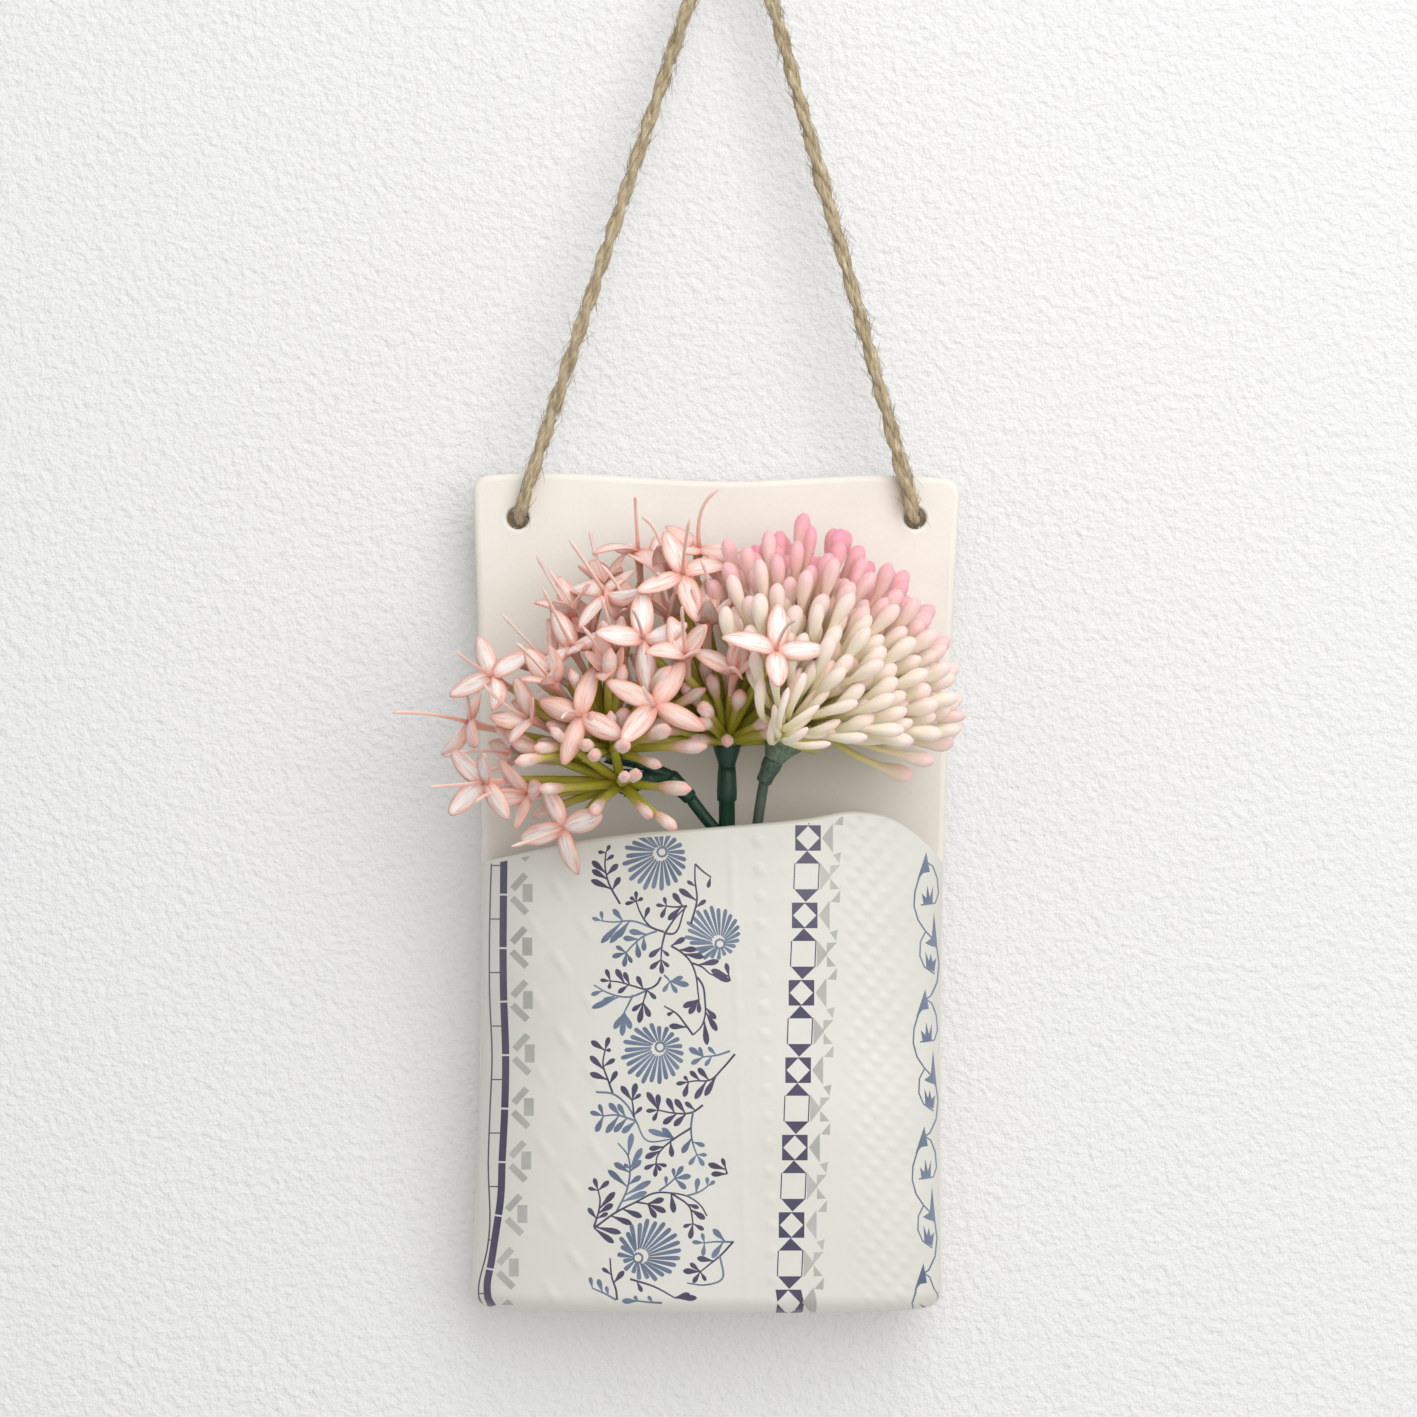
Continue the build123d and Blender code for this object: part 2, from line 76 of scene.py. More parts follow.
def side_axis(n):
    """A direction square to n, chosen as the part's planes choose theirs."""
    a, b, c = n
    size = np.abs(n)
    if size[1] <= size[0] and size[1] <= size[2]:
        side = (-c, 0, a) if size[0] > size[2] else (c, 0, -a)
    elif size[0] <= size[1] and size[0] <= size[2]:
        side = (0, -c, b) if size[1] > size[2] else (0, c, -b)
    else:
        side = (-b, a, 0) if size[0] > size[1] else (b, -a, 0)
    return unit(side)


def turned(axis, angle):
    """A direction square to an axis, turned about it by an angle."""
    side = side_axis(axis)
    return side * math.cos(angle) + np.cross(axis, side) * math.sin(angle)


def at(x, forward, up):
    return np.array([PLATE_X + x, PLATE_FRONT - forward, RIM_PEAK + up])


def toward(x, forward, up):
    return unit([x, -forward, up])


def bezier(a, b, c, count):
    t = np.linspace(0, 1, count)[:, None]
    a, b, c = (np.asarray(p, float) for p in (a, b, c))
    return (1 - t) ** 2 * a + 2 * t * (1 - t) * b + t**2 * c


def along_path(path):
    """Each point's distance from the path's start."""
    return np.concatenate([[0], np.cumsum(np.linalg.norm(np.diff(path, axis=0), axis=1))])


def points_at(stops, run, path):
    """The points of a path at the given distances from its start."""
    return np.column_stack([np.interp(stops, run, column) for column in path.T])


def line_frames(line):
    """The way of a line at each point, and two directions square to it that don't spin round it."""
    ways = unit(np.gradient(line, axis=0))
    normal, normals = side_axis(ways[0]), []
    for way in ways:
        normal = unit(normal - way * (normal @ way))
        normals.append(normal)
    return ways, np.array(normals), np.cross(ways, normals)


class Look:
    """A node material that starts from one Principled shader."""

    def __init__(self, name, roughness, **sockets):
        self.material = bpy.data.materials.new(name)
        self.material.use_nodes = True
        self.tree = self.material.node_tree
        self.shader = self.tree.nodes["Principled BSDF"]
        named = {label.replace("_", " "): value for label, value in sockets.items()}
        self.feed(self.shader, {"Roughness": roughness, **named})

    def feed(self, node, values):
        """Links outputs to a node's sockets, or sets plain values on the sockets themselves."""
        for label, value in values.items():
            if isinstance(value, bpy.types.NodeSocket):
                self.tree.links.new(value, node.inputs[label])
            else:
                node.inputs[label].default_value = value

    def node(self, kind, values=None, **settings):
        made = self.tree.nodes.new(kind)
        for label, value in settings.items():
            setattr(made, label, value)
        self.feed(made, values or {})
        return made

    def place(self):
        return self.node("ShaderNodeTexCoord").outputs["Object"]

    def value(self, name):
        return self.node("ShaderNodeAttribute", attribute_name=name).outputs["Fac"]

    def math(self, operation, a, b):
        return self.node("ShaderNodeMath", {0: a, 1: b}, operation=operation).outputs[0]

    def times(self, a, b):
        return self.math("MULTIPLY", a, b)

    def noise(self, vector, scale, detail=3.0, roughness=0.5):
        values = {"Vector": vector, "Scale": scale, "Detail": detail, "Roughness": roughness}
        return self.node("ShaderNodeTexNoise", values).outputs["Fac"]

    def ramp(self, factor, *stops):
        """A colour that follows a factor through (place, colour) stops."""
        made = self.node("ShaderNodeValToRGB", {"Fac": factor})
        band = made.color_ramp.elements
        while len(band) < len(stops):
            band.new(0.5)
        for element, (place, colour) in zip(band, stops):
            element.position = place
            element.color = (*colour, 1.0)
        return made.outputs["Color"]

    def grey(self, factor, low, high, start=0.0, end=1.0):
        """A plain value that runs from low to high while a factor runs from start to end."""
        values = {"Value": factor, "From Min": start, "From Max": end, "To Min": low, "To Max": high}
        return self.node("ShaderNodeMapRange", values).outputs[0]

    def mix(self, factor, a, b, blend="MIX"):
        first, second = (c if isinstance(c, bpy.types.NodeSocket) else (*c, 1.0) for c in (a, b))
        values = {0: factor, 6: first, 7: second}
        return self.node("ShaderNodeMix", values, data_type="RGBA", blend_type=blend).outputs[2]

    def bump(self, height, strength, distance, under=None):
        values = {"Height": height, "Strength": strength, "Distance": distance}
        if under is not None:
            values["Normal"] = under
        return self.node("ShaderNodeBump", values).outputs[0]

    def done(self, colour, roughness=None, normal=None):
        values = {"Base Color": colour, "Roughness": roughness, "Normal": normal}
        self.feed(self.shader, {label: value for label, value in values.items() if value is not None})
        return self.material


class Shape:
    """Gathers the faces of one piece with the values that its material reads."""

    def __init__(self):
        self.verts, self.faces, self.values, self.count = [], [], [], 0

    def add(self, verts, faces, along, across, tone):
        n = len(verts)
        self.verts.append(np.asarray(verts, float))
        self.faces += [tuple(i + self.count for i in face) for face in faces]
        self.values.append(np.column_stack([np.broadcast_to(v, n) for v in (along, across, tone)]))
        self.count += n

    def tube(self, path, radii, sides=10, along=None, tone=0.0, lobes=0, depth=0.0, squeeze=1.0, turn=0.0):
        """A closed tube along a path. Lobes are ridges round it, and squeeze flattens it."""
        path = np.asarray(path, float)
        n = len(path)
        along = np.linspace(0, 1, n) if along is None else along
        angle = np.arange(sides) * 2 * math.pi / sides
        ridge = 1 + depth * np.cos(lobes * angle)
        rings = []
        spins, radii = np.linspace(0, turn, n), np.broadcast_to(radii, n)
        for point, _, normal, other, radius, spin in zip(path, *line_frames(path), radii, spins):
            ring = np.cos(angle + spin)[:, None] * normal + squeeze * np.sin(angle + spin)[:, None] * other
            rings.append(point + radius * ridge[:, None] * ring)
        first, last, top = n * sides, n * sides + 1, (n - 1) * sides
        faces = []
        for low in range(0, top, sides):
            for k in range(sides):
                m = (k + 1) % sides
                faces.append((low + k, low + m, low + sides + m, low + sides + k))
        faces += [(first, (k + 1) % sides, k) for k in range(sides)]
        faces += [(last, top + k, top + (k + 1) % sides) for k in range(sides)]
        lengthwise = np.concatenate([np.repeat(along, sides), [along[0], along[-1]]])
        crosswise = np.concatenate([np.tile(np.cos(angle), n), [0, 0]])
        self.add(np.vstack([*rings, path[:1], path[-1:]]), faces, lengthwise, crosswise, tone)

    def petal(self, base, lengthwise, upright, length, width, thickness, curl, cup, tone):
        """A closed, curved petal: curl bends it along its length and cup across its width."""
        steps, cross = 13, 7
        s = np.linspace(0, 1, steps)[:, None]
        c = np.linspace(-1, 1, cross)[None, :]
        # It reaches its full width just before its middle, and ends in a blunt tip
        outline = 0.5 * width * np.maximum(2.32 * (s + 0.04) ** 0.62 * np.clip(1.03 - s, 0, 1) ** 0.72, 0.1)
        sideways = np.cross(upright, lengthwise)
        rise = length * curl * s**2 + cup * outline * c**2
        half = 0.5 * thickness * (1 - 0.7 * c**2) * (1 - 0.35 * s)
        flat = base + (length * s)[..., None] * lengthwise + (outline * c)[..., None] * sideways
        top = flat + (rise + half)[..., None] * upright
        bottom = flat + (rise - half)[..., None] * upright
        low = steps * cross
        faces = []
        for i in range(steps - 1):
            for k in range(cross - 1):
                a, b = i * cross + k, (i + 1) * cross + k
                faces += [(a, b, b + 1, a + 1), (low + a, low + a + 1, low + b + 1, low + b)]
            a, b = i * cross, (i + 1) * cross
            faces.append((a, low + a, low + b, b))
            a, b = a + cross - 1, b + cross - 1
            faces.append((a, b, low + b, low + a))
        for k in range(cross - 1):
            faces.append((k, k + 1, low + k + 1, low + k))
            a = (steps - 1) * cross + k
            faces.append((a + 1, a, low + a, low + a + 1))
        along, across = (np.tile(np.broadcast_to(v, (steps, cross)).ravel(), 2) for v in (s, c))
        self.add(np.vstack([top.reshape(-1, 3), bottom.reshape(-1, 3)]), faces, along, across, tone)

    def rod(self, start, end, stations, sides=14, tone=0.0):
        """A turned rod between two points, from (share of its length, radius) stations."""
        shares, radii = np.array(stations).T
        self.tube(start + (end - start) * shares[:, None], radii, sides, shares, tone)

    def make(self, name, material, body, slot, replaced=()):
        values = np.vstack(self.values)
        return piece(name, np.vstack(self.verts), self.faces, [material], body, slot, replaced, values)


def new_object(name, data):
    made = bpy.data.objects.new(name, data)
    bpy.context.scene.collection.objects.link(made)
    return made


def piece(name, verts, faces, materials, body, slot, replaced=(), values=None, indices=None, normals=None):
    """Makes a mesh object that rides on a body and stands for the named solids."""
    mesh = bpy.data.meshes.new(name)
    mesh.from_pydata((np.asarray(verts) * MM).tolist(), [], faces)
    for material in materials:
        mesh.materials.append(material)
    if indices is not None:
        mesh.polygons.foreach_set("material_index", np.asarray(indices, np.int32))
    if values is not None:
        for column, label in enumerate(("along", "across", "tone")):
            layer = mesh.attributes.new(label, "FLOAT", "POINT")
            layer.data.foreach_set("value", values[:, column].astype(np.float32))
    mesh.shade_smooth()
    if normals is not None:
        mesh.normals_split_custom_set_from_vertices(normals.tolist())
    mesh.update()
    made = new_object(name, mesh)
    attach(made, body)
    if replaced:
        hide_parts(*replaced)
    return made


# Camera

camera = new_object("camera", bpy.data.cameras.new("camera"))
camera.location = (VIEW_X * MM, (PLATE_FRONT - VIEW_DISTANCE) * MM, VIEW_Z * MM)
camera.rotation_euler = (math.pi / 2, 0, 0)
camera.data.sensor_width = SENSOR_WIDTH
camera.data.lens = SENSOR_WIDTH * VIEW_DISTANCE / (IMAGE_SIDE * PIXEL)
bpy.context.scene.camera = camera


# Materials

# Distances from each hole's axis, in mm, over which the painted highlight round the hole fades out
HOLE_HIGHLIGHT_INSIDE, HOLE_HIGHLIGHT_OUTSIDE = 2.5, 3.3


def ceramic_look():
    """Unglazed clay, with a painted highlight: paler round the two cord holes."""
    look = Look("bisque_ceramic", 0.5)
    place = look.place()
    cloud = look.noise(place, 45.0, 4.0)
    colour = look.ramp(cloud, (0.3, (0.82, 0.775, 0.695)), (0.7, (0.89, 0.85, 0.775)))
    speck = look.noise(place, 1400.0, 2.0)
    colour = look.mix(look.grey(speck, 0.0, 0.10), colour, (0.60, 0.54, 0.46))
    flat = look.node("ShaderNodeVectorMath", {0: place, 1: FACE_ON}, operation="MULTIPLY").outputs[0]
    # Painted highlight: a paler ring round each cord hole stands in for the light on the holes' rounded edges
    for side in (-1, 1):
        hole = ((PLATE_X + side * HOLE_SPACING / 2) * MM, 0.0, HOLE_Z * MM)
        away = look.node("ShaderNodeVectorMath", {0: flat, 1: hole}, operation="DISTANCE").outputs["Value"]
        hole_highlight = look.grey(away, 0.85, 0.0, HOLE_HIGHLIGHT_INSIDE * MM, HOLE_HIGHLIGHT_OUTSIDE * MM)
        colour = look.mix(hole_highlight, colour, (0.93, 0.92, 0.88))
    waves = look.bump(look.noise(place, 38.0, 2.0), 0.30, 0.002)
    grain = look.bump(look.noise(place, 1100.0, 3.0), 0.10, 0.0004, waves)
    return look.done(colour, look.grey(look.noise(place, 160.0), 0.40, 0.58), grain)


def glaze_look(name, dark, light, spread):
    """The pocket's clear glaze over a tone, which drifts between two colours."""
    look = Look(name, 0.3, Coat_Weight=0.35, Coat_Roughness=0.22)
    place = look.place()
    colour = look.ramp(look.noise(place, spread, 4.0), (0.30, dark), (0.70, light))
    waves = look.bump(look.noise(place, 60.0, 2.0), 0.22, 0.0016)
    return look.done(colour, look.grey(look.noise(place, 240.0), 0.34, 0.46), waves)


def drawn_out(look, across_scale, along_scale, tone_scale=7.0, scale=1.6, detail=4.0, roughness=0.6):
    """A piece's own along, across and tone values, and a noise that is drawn out into streaks along it."""
    along, across, tone = (look.value(name) for name in ("along", "across", "tone"))
    scales = ((across, across_scale), (along, along_scale), (tone, tone_scale))
    lay = look.node("ShaderNodeCombineXYZ", {k: look.times(*pair) for k, pair in enumerate(scales)})
    return along, across, tone, look.noise(lay.outputs[0], scale, detail, roughness)


def jute_look():
    look = Look("jute_fibre", 0.85, Sheen_Weight=0.25)
    *_, fibre = drawn_out(look, 1.6, 0.14, 9.0, 3.0, 5.0, 0.65)
    colour = look.ramp(
        fibre,
        (0.30, (0.17, 0.115, 0.055)),
        (0.44, (0.42, 0.33, 0.195)),
        (0.57, (0.60, 0.50, 0.325)),
        (0.72, (0.84, 0.75, 0.56)),
    )
    drift = look.noise(look.place(), 42.0, 2.0)
    colour = look.mix(look.grey(drift, 0.0, 0.30), colour, (0.36, 0.255, 0.145))
    return look.done(colour, None, look.bump(fibre, 0.6, 0.0004))


def stem_look(name, dark, light, roughness):
    look = Look(name, roughness)
    *_, streak = drawn_out(look, 2.0, 3.0, 1.0, 2.5, 4.0, 0.5)
    colour = look.ramp(streak, (0.32, dark), (0.72, light))
    grain = look.bump(look.noise(look.place(), 900.0, 2.0), 0.25, 0.0003)
    return look.done(colour, look.grey(streak, roughness - 0.08, roughness + 0.12), grain)


def petal_look():
    """Salmon petals, streaked with white down the middle and with darker veins."""
    soft = {"Subsurface_Weight": 0.12, "Subsurface_Radius": (0.002, 0.001, 0.0008), "Sheen_Weight": 0.15}
    look = Look("floret_petal", 0.55, **soft)
    along, across, tone, streak = drawn_out(look, 3.4, 1.3)
    body = look.ramp(
        along,
        (0.0, (0.78, 0.32, 0.24)),
        (0.14, (0.82, 0.37, 0.27)),
        (0.55, (0.88, 0.51, 0.40)),
        (1.0, (0.82, 0.37, 0.29)),
    )
    middle = look.math("SUBTRACT", 1.0, look.times(across, across))
    pale = look.times(middle, look.times(look.grey(streak, -0.25, 2.1), look.grey(tone, 0.5, 1.1)))
    lifts = ((0.05, 0.1), (0.3, 1.0), (0.85, 0.9), (1.0, 0.4))
    lift = look.ramp(along, *((place, (level, level, level)) for place, level in lifts))
    colour = look.mix(look.times(pale, lift), body, (0.96, 0.90, 0.86))
    veins = look.ramp(streak, (0.30, (0.80, 0.36, 0.30)), (0.46, (1.0, 1.0, 1.0)))
    return look.done(look.mix(0.5, colour, veins, "MULTIPLY"), None, look.bump(streak, 0.4, 0.0004))


def umbel_look():
    """Spokes that run from rust through olive to pink buds."""
    look = Look("umbel_spoke", 0.5, Subsurface_Weight=0.08, Subsurface_Radius=(0.0015, 0.001, 0.0005))
    along, _, _, streak = drawn_out(look, 1.5, 4.0)
    colour = look.ramp(
        along,
        (0.0, (0.42, 0.20, 0.02)),
        (0.10, (0.36, 0.29, 0.015)),
        (0.42, (0.44, 0.42, 0.03)),
        (0.66, (0.58, 0.50, 0.12)),
        (0.76, (0.87, 0.57, 0.44)),
        (0.90, (0.93, 0.76, 0.70)),
        (1.0, (0.86, 0.45, 0.40)),
    )
    shade = look.ramp(streak, (0.3, (0.62, 0.60, 0.52)), (0.6, (1.0, 1.0, 1.0)))
    return look.done(look.mix(0.6, colour, shade, "MULTIPLY"), None, look.bump(streak, 0.3, 0.0003))


def globe_look():
    """Club petals that run from olive through cream to pale or pink ends, by the petal's tone."""
    soft = {"Subsurface_Weight": 0.5, "Subsurface_Radius": (0.005, 0.0035, 0.002), "Sheen_Weight": 0.12}
    look = Look("globe_petal", 0.5, **soft)
    along, _, tone, streak = drawn_out(look, 1.4, 2.6)
    pink = look.ramp(
        along,
        (0.0, (0.62, 0.52, 0.14)),
        (0.40, (0.86, 0.72, 0.36)),
        (0.66, (0.94, 0.72, 0.52)),
        (0.88, (0.94, 0.52, 0.55)),
        (1.0, (0.90, 0.32, 0.44)),
    )
    white = look.ramp(
        along,
        (0.0, (0.50, 0.46, 0.10)),
        (0.40, (0.80, 0.73, 0.30)),
        (0.66, (0.93, 0.87, 0.56)),
        (0.86, (0.96, 0.88, 0.73)),
        (1.0, (0.95, 0.74, 0.70)),
    )
    colour = look.mix(tone, white, pink)
    shade = look.ramp(streak, (0.3, (0.88, 0.80, 0.74)), (0.6, (1.0, 1.0, 1.0)))
    return look.done(look.mix(0.5, colour, shade, "MULTIPLY"), None, look.bump(streak, 0.25, 0.0003))


def wire_look():
    look = Look("drawn_wire", 0.35, Metallic=1.0)
    stretch = look.node("ShaderNodeMapping", {"Vector": look.place(), "Scale": (1.0, 1.0, 0.05)}).outputs[0]
    lines = look.noise(stretch, 2500.0, 2.0)
    colour = look.ramp(lines, (0.3, (0.36, 0.36, 0.37)), (0.7, (0.55, 0.55, 0.56)))
    return look.done(colour, look.grey(lines, 0.25, 0.45))


JUTE = jute_look()
STEM_GREEN = stem_look("stem_green", (0.004, 0.028, 0.015), (0.018, 0.075, 0.042), 0.42)
STEM_GREY = stem_look("stem_grey", (0.045, 0.075, 0.055), (0.13, 0.19, 0.14), 0.5)
CALYX = stem_look("calyx_green", (0.10, 0.16, 0.11), (0.30, 0.39, 0.27), 0.5)
UMBEL, PETAL, GLOBE = umbel_look(), petal_look(), globe_look()
CERAMIC, WIRE = ceramic_look(), wire_look()
GLAZES = [
    glaze_look("glaze_clear", (0.70, 0.69, 0.62), (0.77, 0.76, 0.70), 26.0),
    glaze_look("glaze_indigo", (0.050, 0.045, 0.095), (0.085, 0.075, 0.135), 160.0),
    glaze_look("glaze_blue", (0.095, 0.125, 0.205), (0.19, 0.24, 0.335), 130.0),
    glaze_look("glaze_grey", (0.40, 0.40, 0.37), (0.52, 0.515, 0.485), 120.0),
]


# Hanging cord: two plies laid round a smooth line through the part's own route

CORD_LENGTH, CORD_DIAMETER = 279.3, 2.8
CORD_ROUTE = [
    (-43.05, 3.8, -121.4),
    (-43.05, -8.4, -122.6),
    (-39.73, -6.6, -111.3),
    (-7.79, -0.9, -14.5),
    (-2.53, 0.0, 1.4),
    (2.67, 0.0, 1.4),
    (7.12, -0.9, -14.8),
    (33.64, -6.6, -111.2),
    (36.45, -8.4, -122.6),
    (36.45, 3.8, -121.4),
]
PLY_PITCH, PLY_RADIUS, PLY_OFFSET = 15.0, 0.87, 0.53
FUZZ_COUNT, FUZZ_LENGTH, FUZZ_RADII = 1100, 4.2, [0.075, 0.07, 0.06, 0.05, 0.02]
# A thick place in the right strand, and looser twine above its hole: height, length and swell
SLUB, LOOSE = (-53.5, 3.2, 0.24), (-112.0, 7.0, 0.16)
KNOT_RING, KNOT_RISE, KNOT_DEPTH = 0.80, 1.12, 3.3
KNOT_START, KNOT_END = 0.62, 0.12
KNOT_PLY_RADIUS, KNOT_PLY_OFFSET, KNOT_RADIUS = 0.66, 0.52, 1.15
KNOT_FUZZ_COUNT, KNOT_FUZZ_LENGTH = 40, 2.0
KNOT_ENTRY = [(0.0, -0.4, 0.0), (0.0, 1.2, 0.0)]
KNOT_TAIL = [(0.8, 3.6, -4.4), (0.2, 3.9, -7.5), (0.6, 4.1, -10.4)]
FRAY_COUNT, FRAY_RADII = 46, [0.09, 0.085, 0.075, 0.06, 0.02]


def smooth_line(points, resolution):
    """Points read from a smooth spline that has the given control points."""
    curve = bpy.data.curves.new("route", "CURVE")
    curve.dimensions, curve.resolution_u = "3D", resolution
    spline = curve.splines.new("NURBS")
    spline.points.add(len(points) - 1)
    for control, place in zip(spline.points, points):
        control.co = (*place, 1.0)
    spline.order_u = 3
    spline.use_endpoint_u = True
    holder = bpy.data.objects.new("route", curve)
    mesh = bpy.data.meshes.new_from_object(holder)
    line = np.array([v.co for v in mesh.vertices])
    bpy.data.objects.remove(holder)
    bpy.data.curves.remove(curve)
    bpy.data.meshes.remove(mesh)
    return line


def even_steps(line, step):
    """The same line with points at even distances, and those distances."""
    run = along_path(line)
    stops = np.linspace(0, run[-1], max(int(run[-1] / step), 4))
    return points_at(stops, run, line), stops


def lay_plies(shape, line, run, swell, radius, offset):
    """Two plies twisted round a line. Swell makes the cord thicker in places."""
    _, normals, others = line_frames(line)
    for ply in range(2):
        angle = -2 * math.pi * run / PLY_PITCH + ply * math.pi
        out = np.cos(angle)[:, None] * normals + np.sin(angle)[:, None] * others
        uneven = 1 + 0.05 * np.sin(run * 0.9 + 2 * ply) + 0.04 * np.sin(run * 2.3 + ply)
        tone = 0.3 * ply + 0.2
        centre = line + (offset * swell)[:, None] * out
        shape.tube(centre, radius * swell * uneven, 14, run, tone, 7, 0.07, turn=run[-1] / 3.0)


def lay_fuzz(shape, line, run, count, radius, longest):
    """Loose fibres that stand off the cord."""
    _, normals, others = line_frames(line)
    for _ in range(count):
        i = draw.integers(2, len(line) - 3)
        angle = draw.uniform(0, 2 * math.pi)
        out = math.cos(angle) * normals[i] + math.sin(angle) * others[i]
        way = unit(line[i + 1] - line[i - 1]) * draw.choice([-1, 1])
        reach = draw.uniform(0.35, 1.0) * longest
        start = line[i] + out * radius * 0.85
        lift = draw.uniform(0.04, 0.34)
        bend = start + out * reach * lift + way * reach * 0.5
        end = bend + out * reach * (lift - 0.10) + way * reach * draw.uniform(0.2, 0.6)
        shape.tube(bezier(start, bend, end, 5), FUZZ_RADII, 3, run[i] + np.zeros(5), draw.uniform(0, 1))


def swelling(z, middle, length, swell):
    return swell * np.exp(-(((z - middle) / length) ** 2))


def tied_knot(name, side):
    """An overhand knot behind one hole, with a short tail that frays at its end."""
    middle = np.array([PLATE_X + side * HOLE_SPACING / 2, 0.0, HOLE_Z])
    turns = np.linspace(KNOT_START, 2 * math.pi + KNOT_END, 20) + math.pi
    loops = np.column_stack([
        KNOT_RING * (np.sin(turns) + 2 * np.sin(2 * turns)),
        KNOT_DEPTH - KNOT_RISE * np.sin(3 * turns),
        KNOT_RING * (np.cos(turns) - 2 * np.cos(2 * turns)),
    ])
    route = middle + np.vstack([KNOT_ENTRY, loops, KNOT_TAIL]) * (side, 1.0, 1.0)
    line, run = even_steps(smooth_line(route, 12), 0.45)
    shape = Shape()
    lay_plies(shape, line, run, np.ones(len(line)), KNOT_PLY_RADIUS, KNOT_PLY_OFFSET)
    end, down = line[-1], unit(line[-1] - line[-4])
    for _ in range(FRAY_COUNT):
        spread = draw.normal(0, 0.36, 3)
        tip = end + down * draw.uniform(1.4, 3.2) + spread * 2.2
        start = end - down * 1.2 + spread
        fibre = bezier(start, (start + tip) / 2 + draw.normal(0, 0.25, 3), tip, 5)
        shape.tube(fibre, FRAY_RADII, 4, run[-1] + np.zeros(5), draw.uniform(0, 1))
    lay_fuzz(shape, line, run, KNOT_FUZZ_COUNT, KNOT_RADIUS, KNOT_FUZZ_LENGTH)
    return shape.make(name + "_tied", JUTE, "hanger", "jute", [name])


route = smooth_line(CORD_ROUTE, 48)
cord_line, cord_run = even_steps(route, 0.6)
cord_x, cord_y, cord_z = cord_line.T
swell = 1 + (cord_x > 0) * (swelling(cord_z, *SLUB) + swelling(cord_z, *LOOSE) * (cord_y < -5))
twine, fuzz = Shape(), Shape()
lay_plies(twine, cord_line, cord_run, swell, PLY_RADIUS, PLY_OFFSET)
jute_cord = twine.make("jute_twine", JUTE, "hanger", "jute", ["jute_cord"])
lay_fuzz(fuzz, cord_line[8:-8], cord_run[8:-8], FUZZ_COUNT, CORD_DIAMETER / 2, FUZZ_LENGTH)
cord_fuzz = fuzz.make("jute_fuzz", JUTE, "hanger", "jute")
knots = [tied_knot(name, side) for name, side in (("knot_left", -1), ("knot_right", 1))]


# Front pocket: one sheet over the bulge, cut along the edges of its print


def plate_edge(side, z):
    """The plate's left or right edge at a height: a curve through its top, waist and foot."""
    drop = PLATE_TOP - z
    top = (drop - WAIST_DROP) * (drop - PLATE_HEIGHT) / (WAIST_DROP * PLATE_HEIGHT)
    waist = drop * (PLATE_HEIGHT - drop) / (WAIST_DROP * (PLATE_HEIGHT - WAIST_DROP))
    foot = drop * (drop - WAIST_DROP) / (PLATE_HEIGHT * (PLATE_HEIGHT - WAIST_DROP))
    return PLATE_X + side * (TOP_HALF * top + WAIST_HALF[side] * waist + FOOT_HALF[side] * foot)


def pocket_sides(z, drawn):
    """The pocket's middle and half width at a height, where its foot is drawn in by some amount."""
    left = plate_edge(-1, z) + POCKET_INSET + drawn
    right = plate_edge(1, z) - POCKET_INSET - drawn
    return (left + right) / 2, (right - left) / 2


def pocket_depth(z):
    share = np.minimum((z - POCKET_FOOT) / POCKET_HEIGHT, 1.0)
    return FOOT_DEPTH + (MOUTH_DEPTH - FOOT_DEPTH) * (1 - (1 - share) ** 2)


def bulge_at(across):
    fullness = np.where(across < 0, LEFT_FULLNESS, RIGHT_FULLNESS)
    return np.maximum(1 - np.abs(across) ** fullness, 0) ** (1 / fullness)


def smooth_through(x, places, heights):
    """The height at x of a smooth curve that passes through the given points."""
    places, heights = np.asarray(places, float), np.asarray(heights, float)
    slopes = np.gradient(heights, places)
    k = np.clip(np.searchsorted(places, x) - 1, 0, len(places) - 2)
    width = places[k + 1] - places[k]
    t = np.clip((x - places[k]) / width, 0, 1)
    start = (1 + 2 * t) * (1 - t) ** 2 * heights[k] + t * (1 - t) ** 2 * width * slopes[k]
    return start + t * t * (3 - 2 * t) * heights[k + 1] + t * t * (t - 1) * width * slopes[k + 1]


def rim_height(x):
    return smooth_through(x, PLATE_X + np.array(RIM_SHARES) * RIM_HALF, RIM_PEAK - np.array(RIM_DROPS))


# The sheet is laid out flat: a runs across the bulge, and b from the plate under the foot and up the front
FOOT_ARC = FOOT_ROUND * math.pi / 2
UNDER = 9.0
PHI = np.linspace(0, math.pi, 1201)
mid_z = POCKET_FOOT + 0.5 * POCKET_HEIGHT
mid_half = pocket_sides(mid_z, 0.0)[1]
ARC = along_path(np.column_stack([-np.cos(PHI) * mid_half, bulge_at(-np.cos(PHI)) * pocket_depth(mid_z)]))
SIGHT_DEPTH, SIGHT_ROUNDS = 18.0, 6

# Pressed texture: how far each pattern stands out, and the pixel columns that it fades between
QUILTED, LACE, STROKES, FOLD = 0.2, 0.16, 0.26, 0.10
QUILTED_BAND, LACE_BAND, STROKES_BAND = (848, 912, 5), (745, 785, 4), (540, 600, 7)
LACE_X, FOLD_X, FOLD_WIDTH = 765, 738, 4
TEXTURE_SLANT, TEXTURE_LEVEL = 0.035, 1060
# The patterns' periods in pixels, and how steeply the strokes run
QUILTED_PERIODS, LACE_PERIODS, STROKES_PERIOD, STROKES_GAP, STROKES_SLANT = (18, 25), (26, 27), 72, 74, 1.4


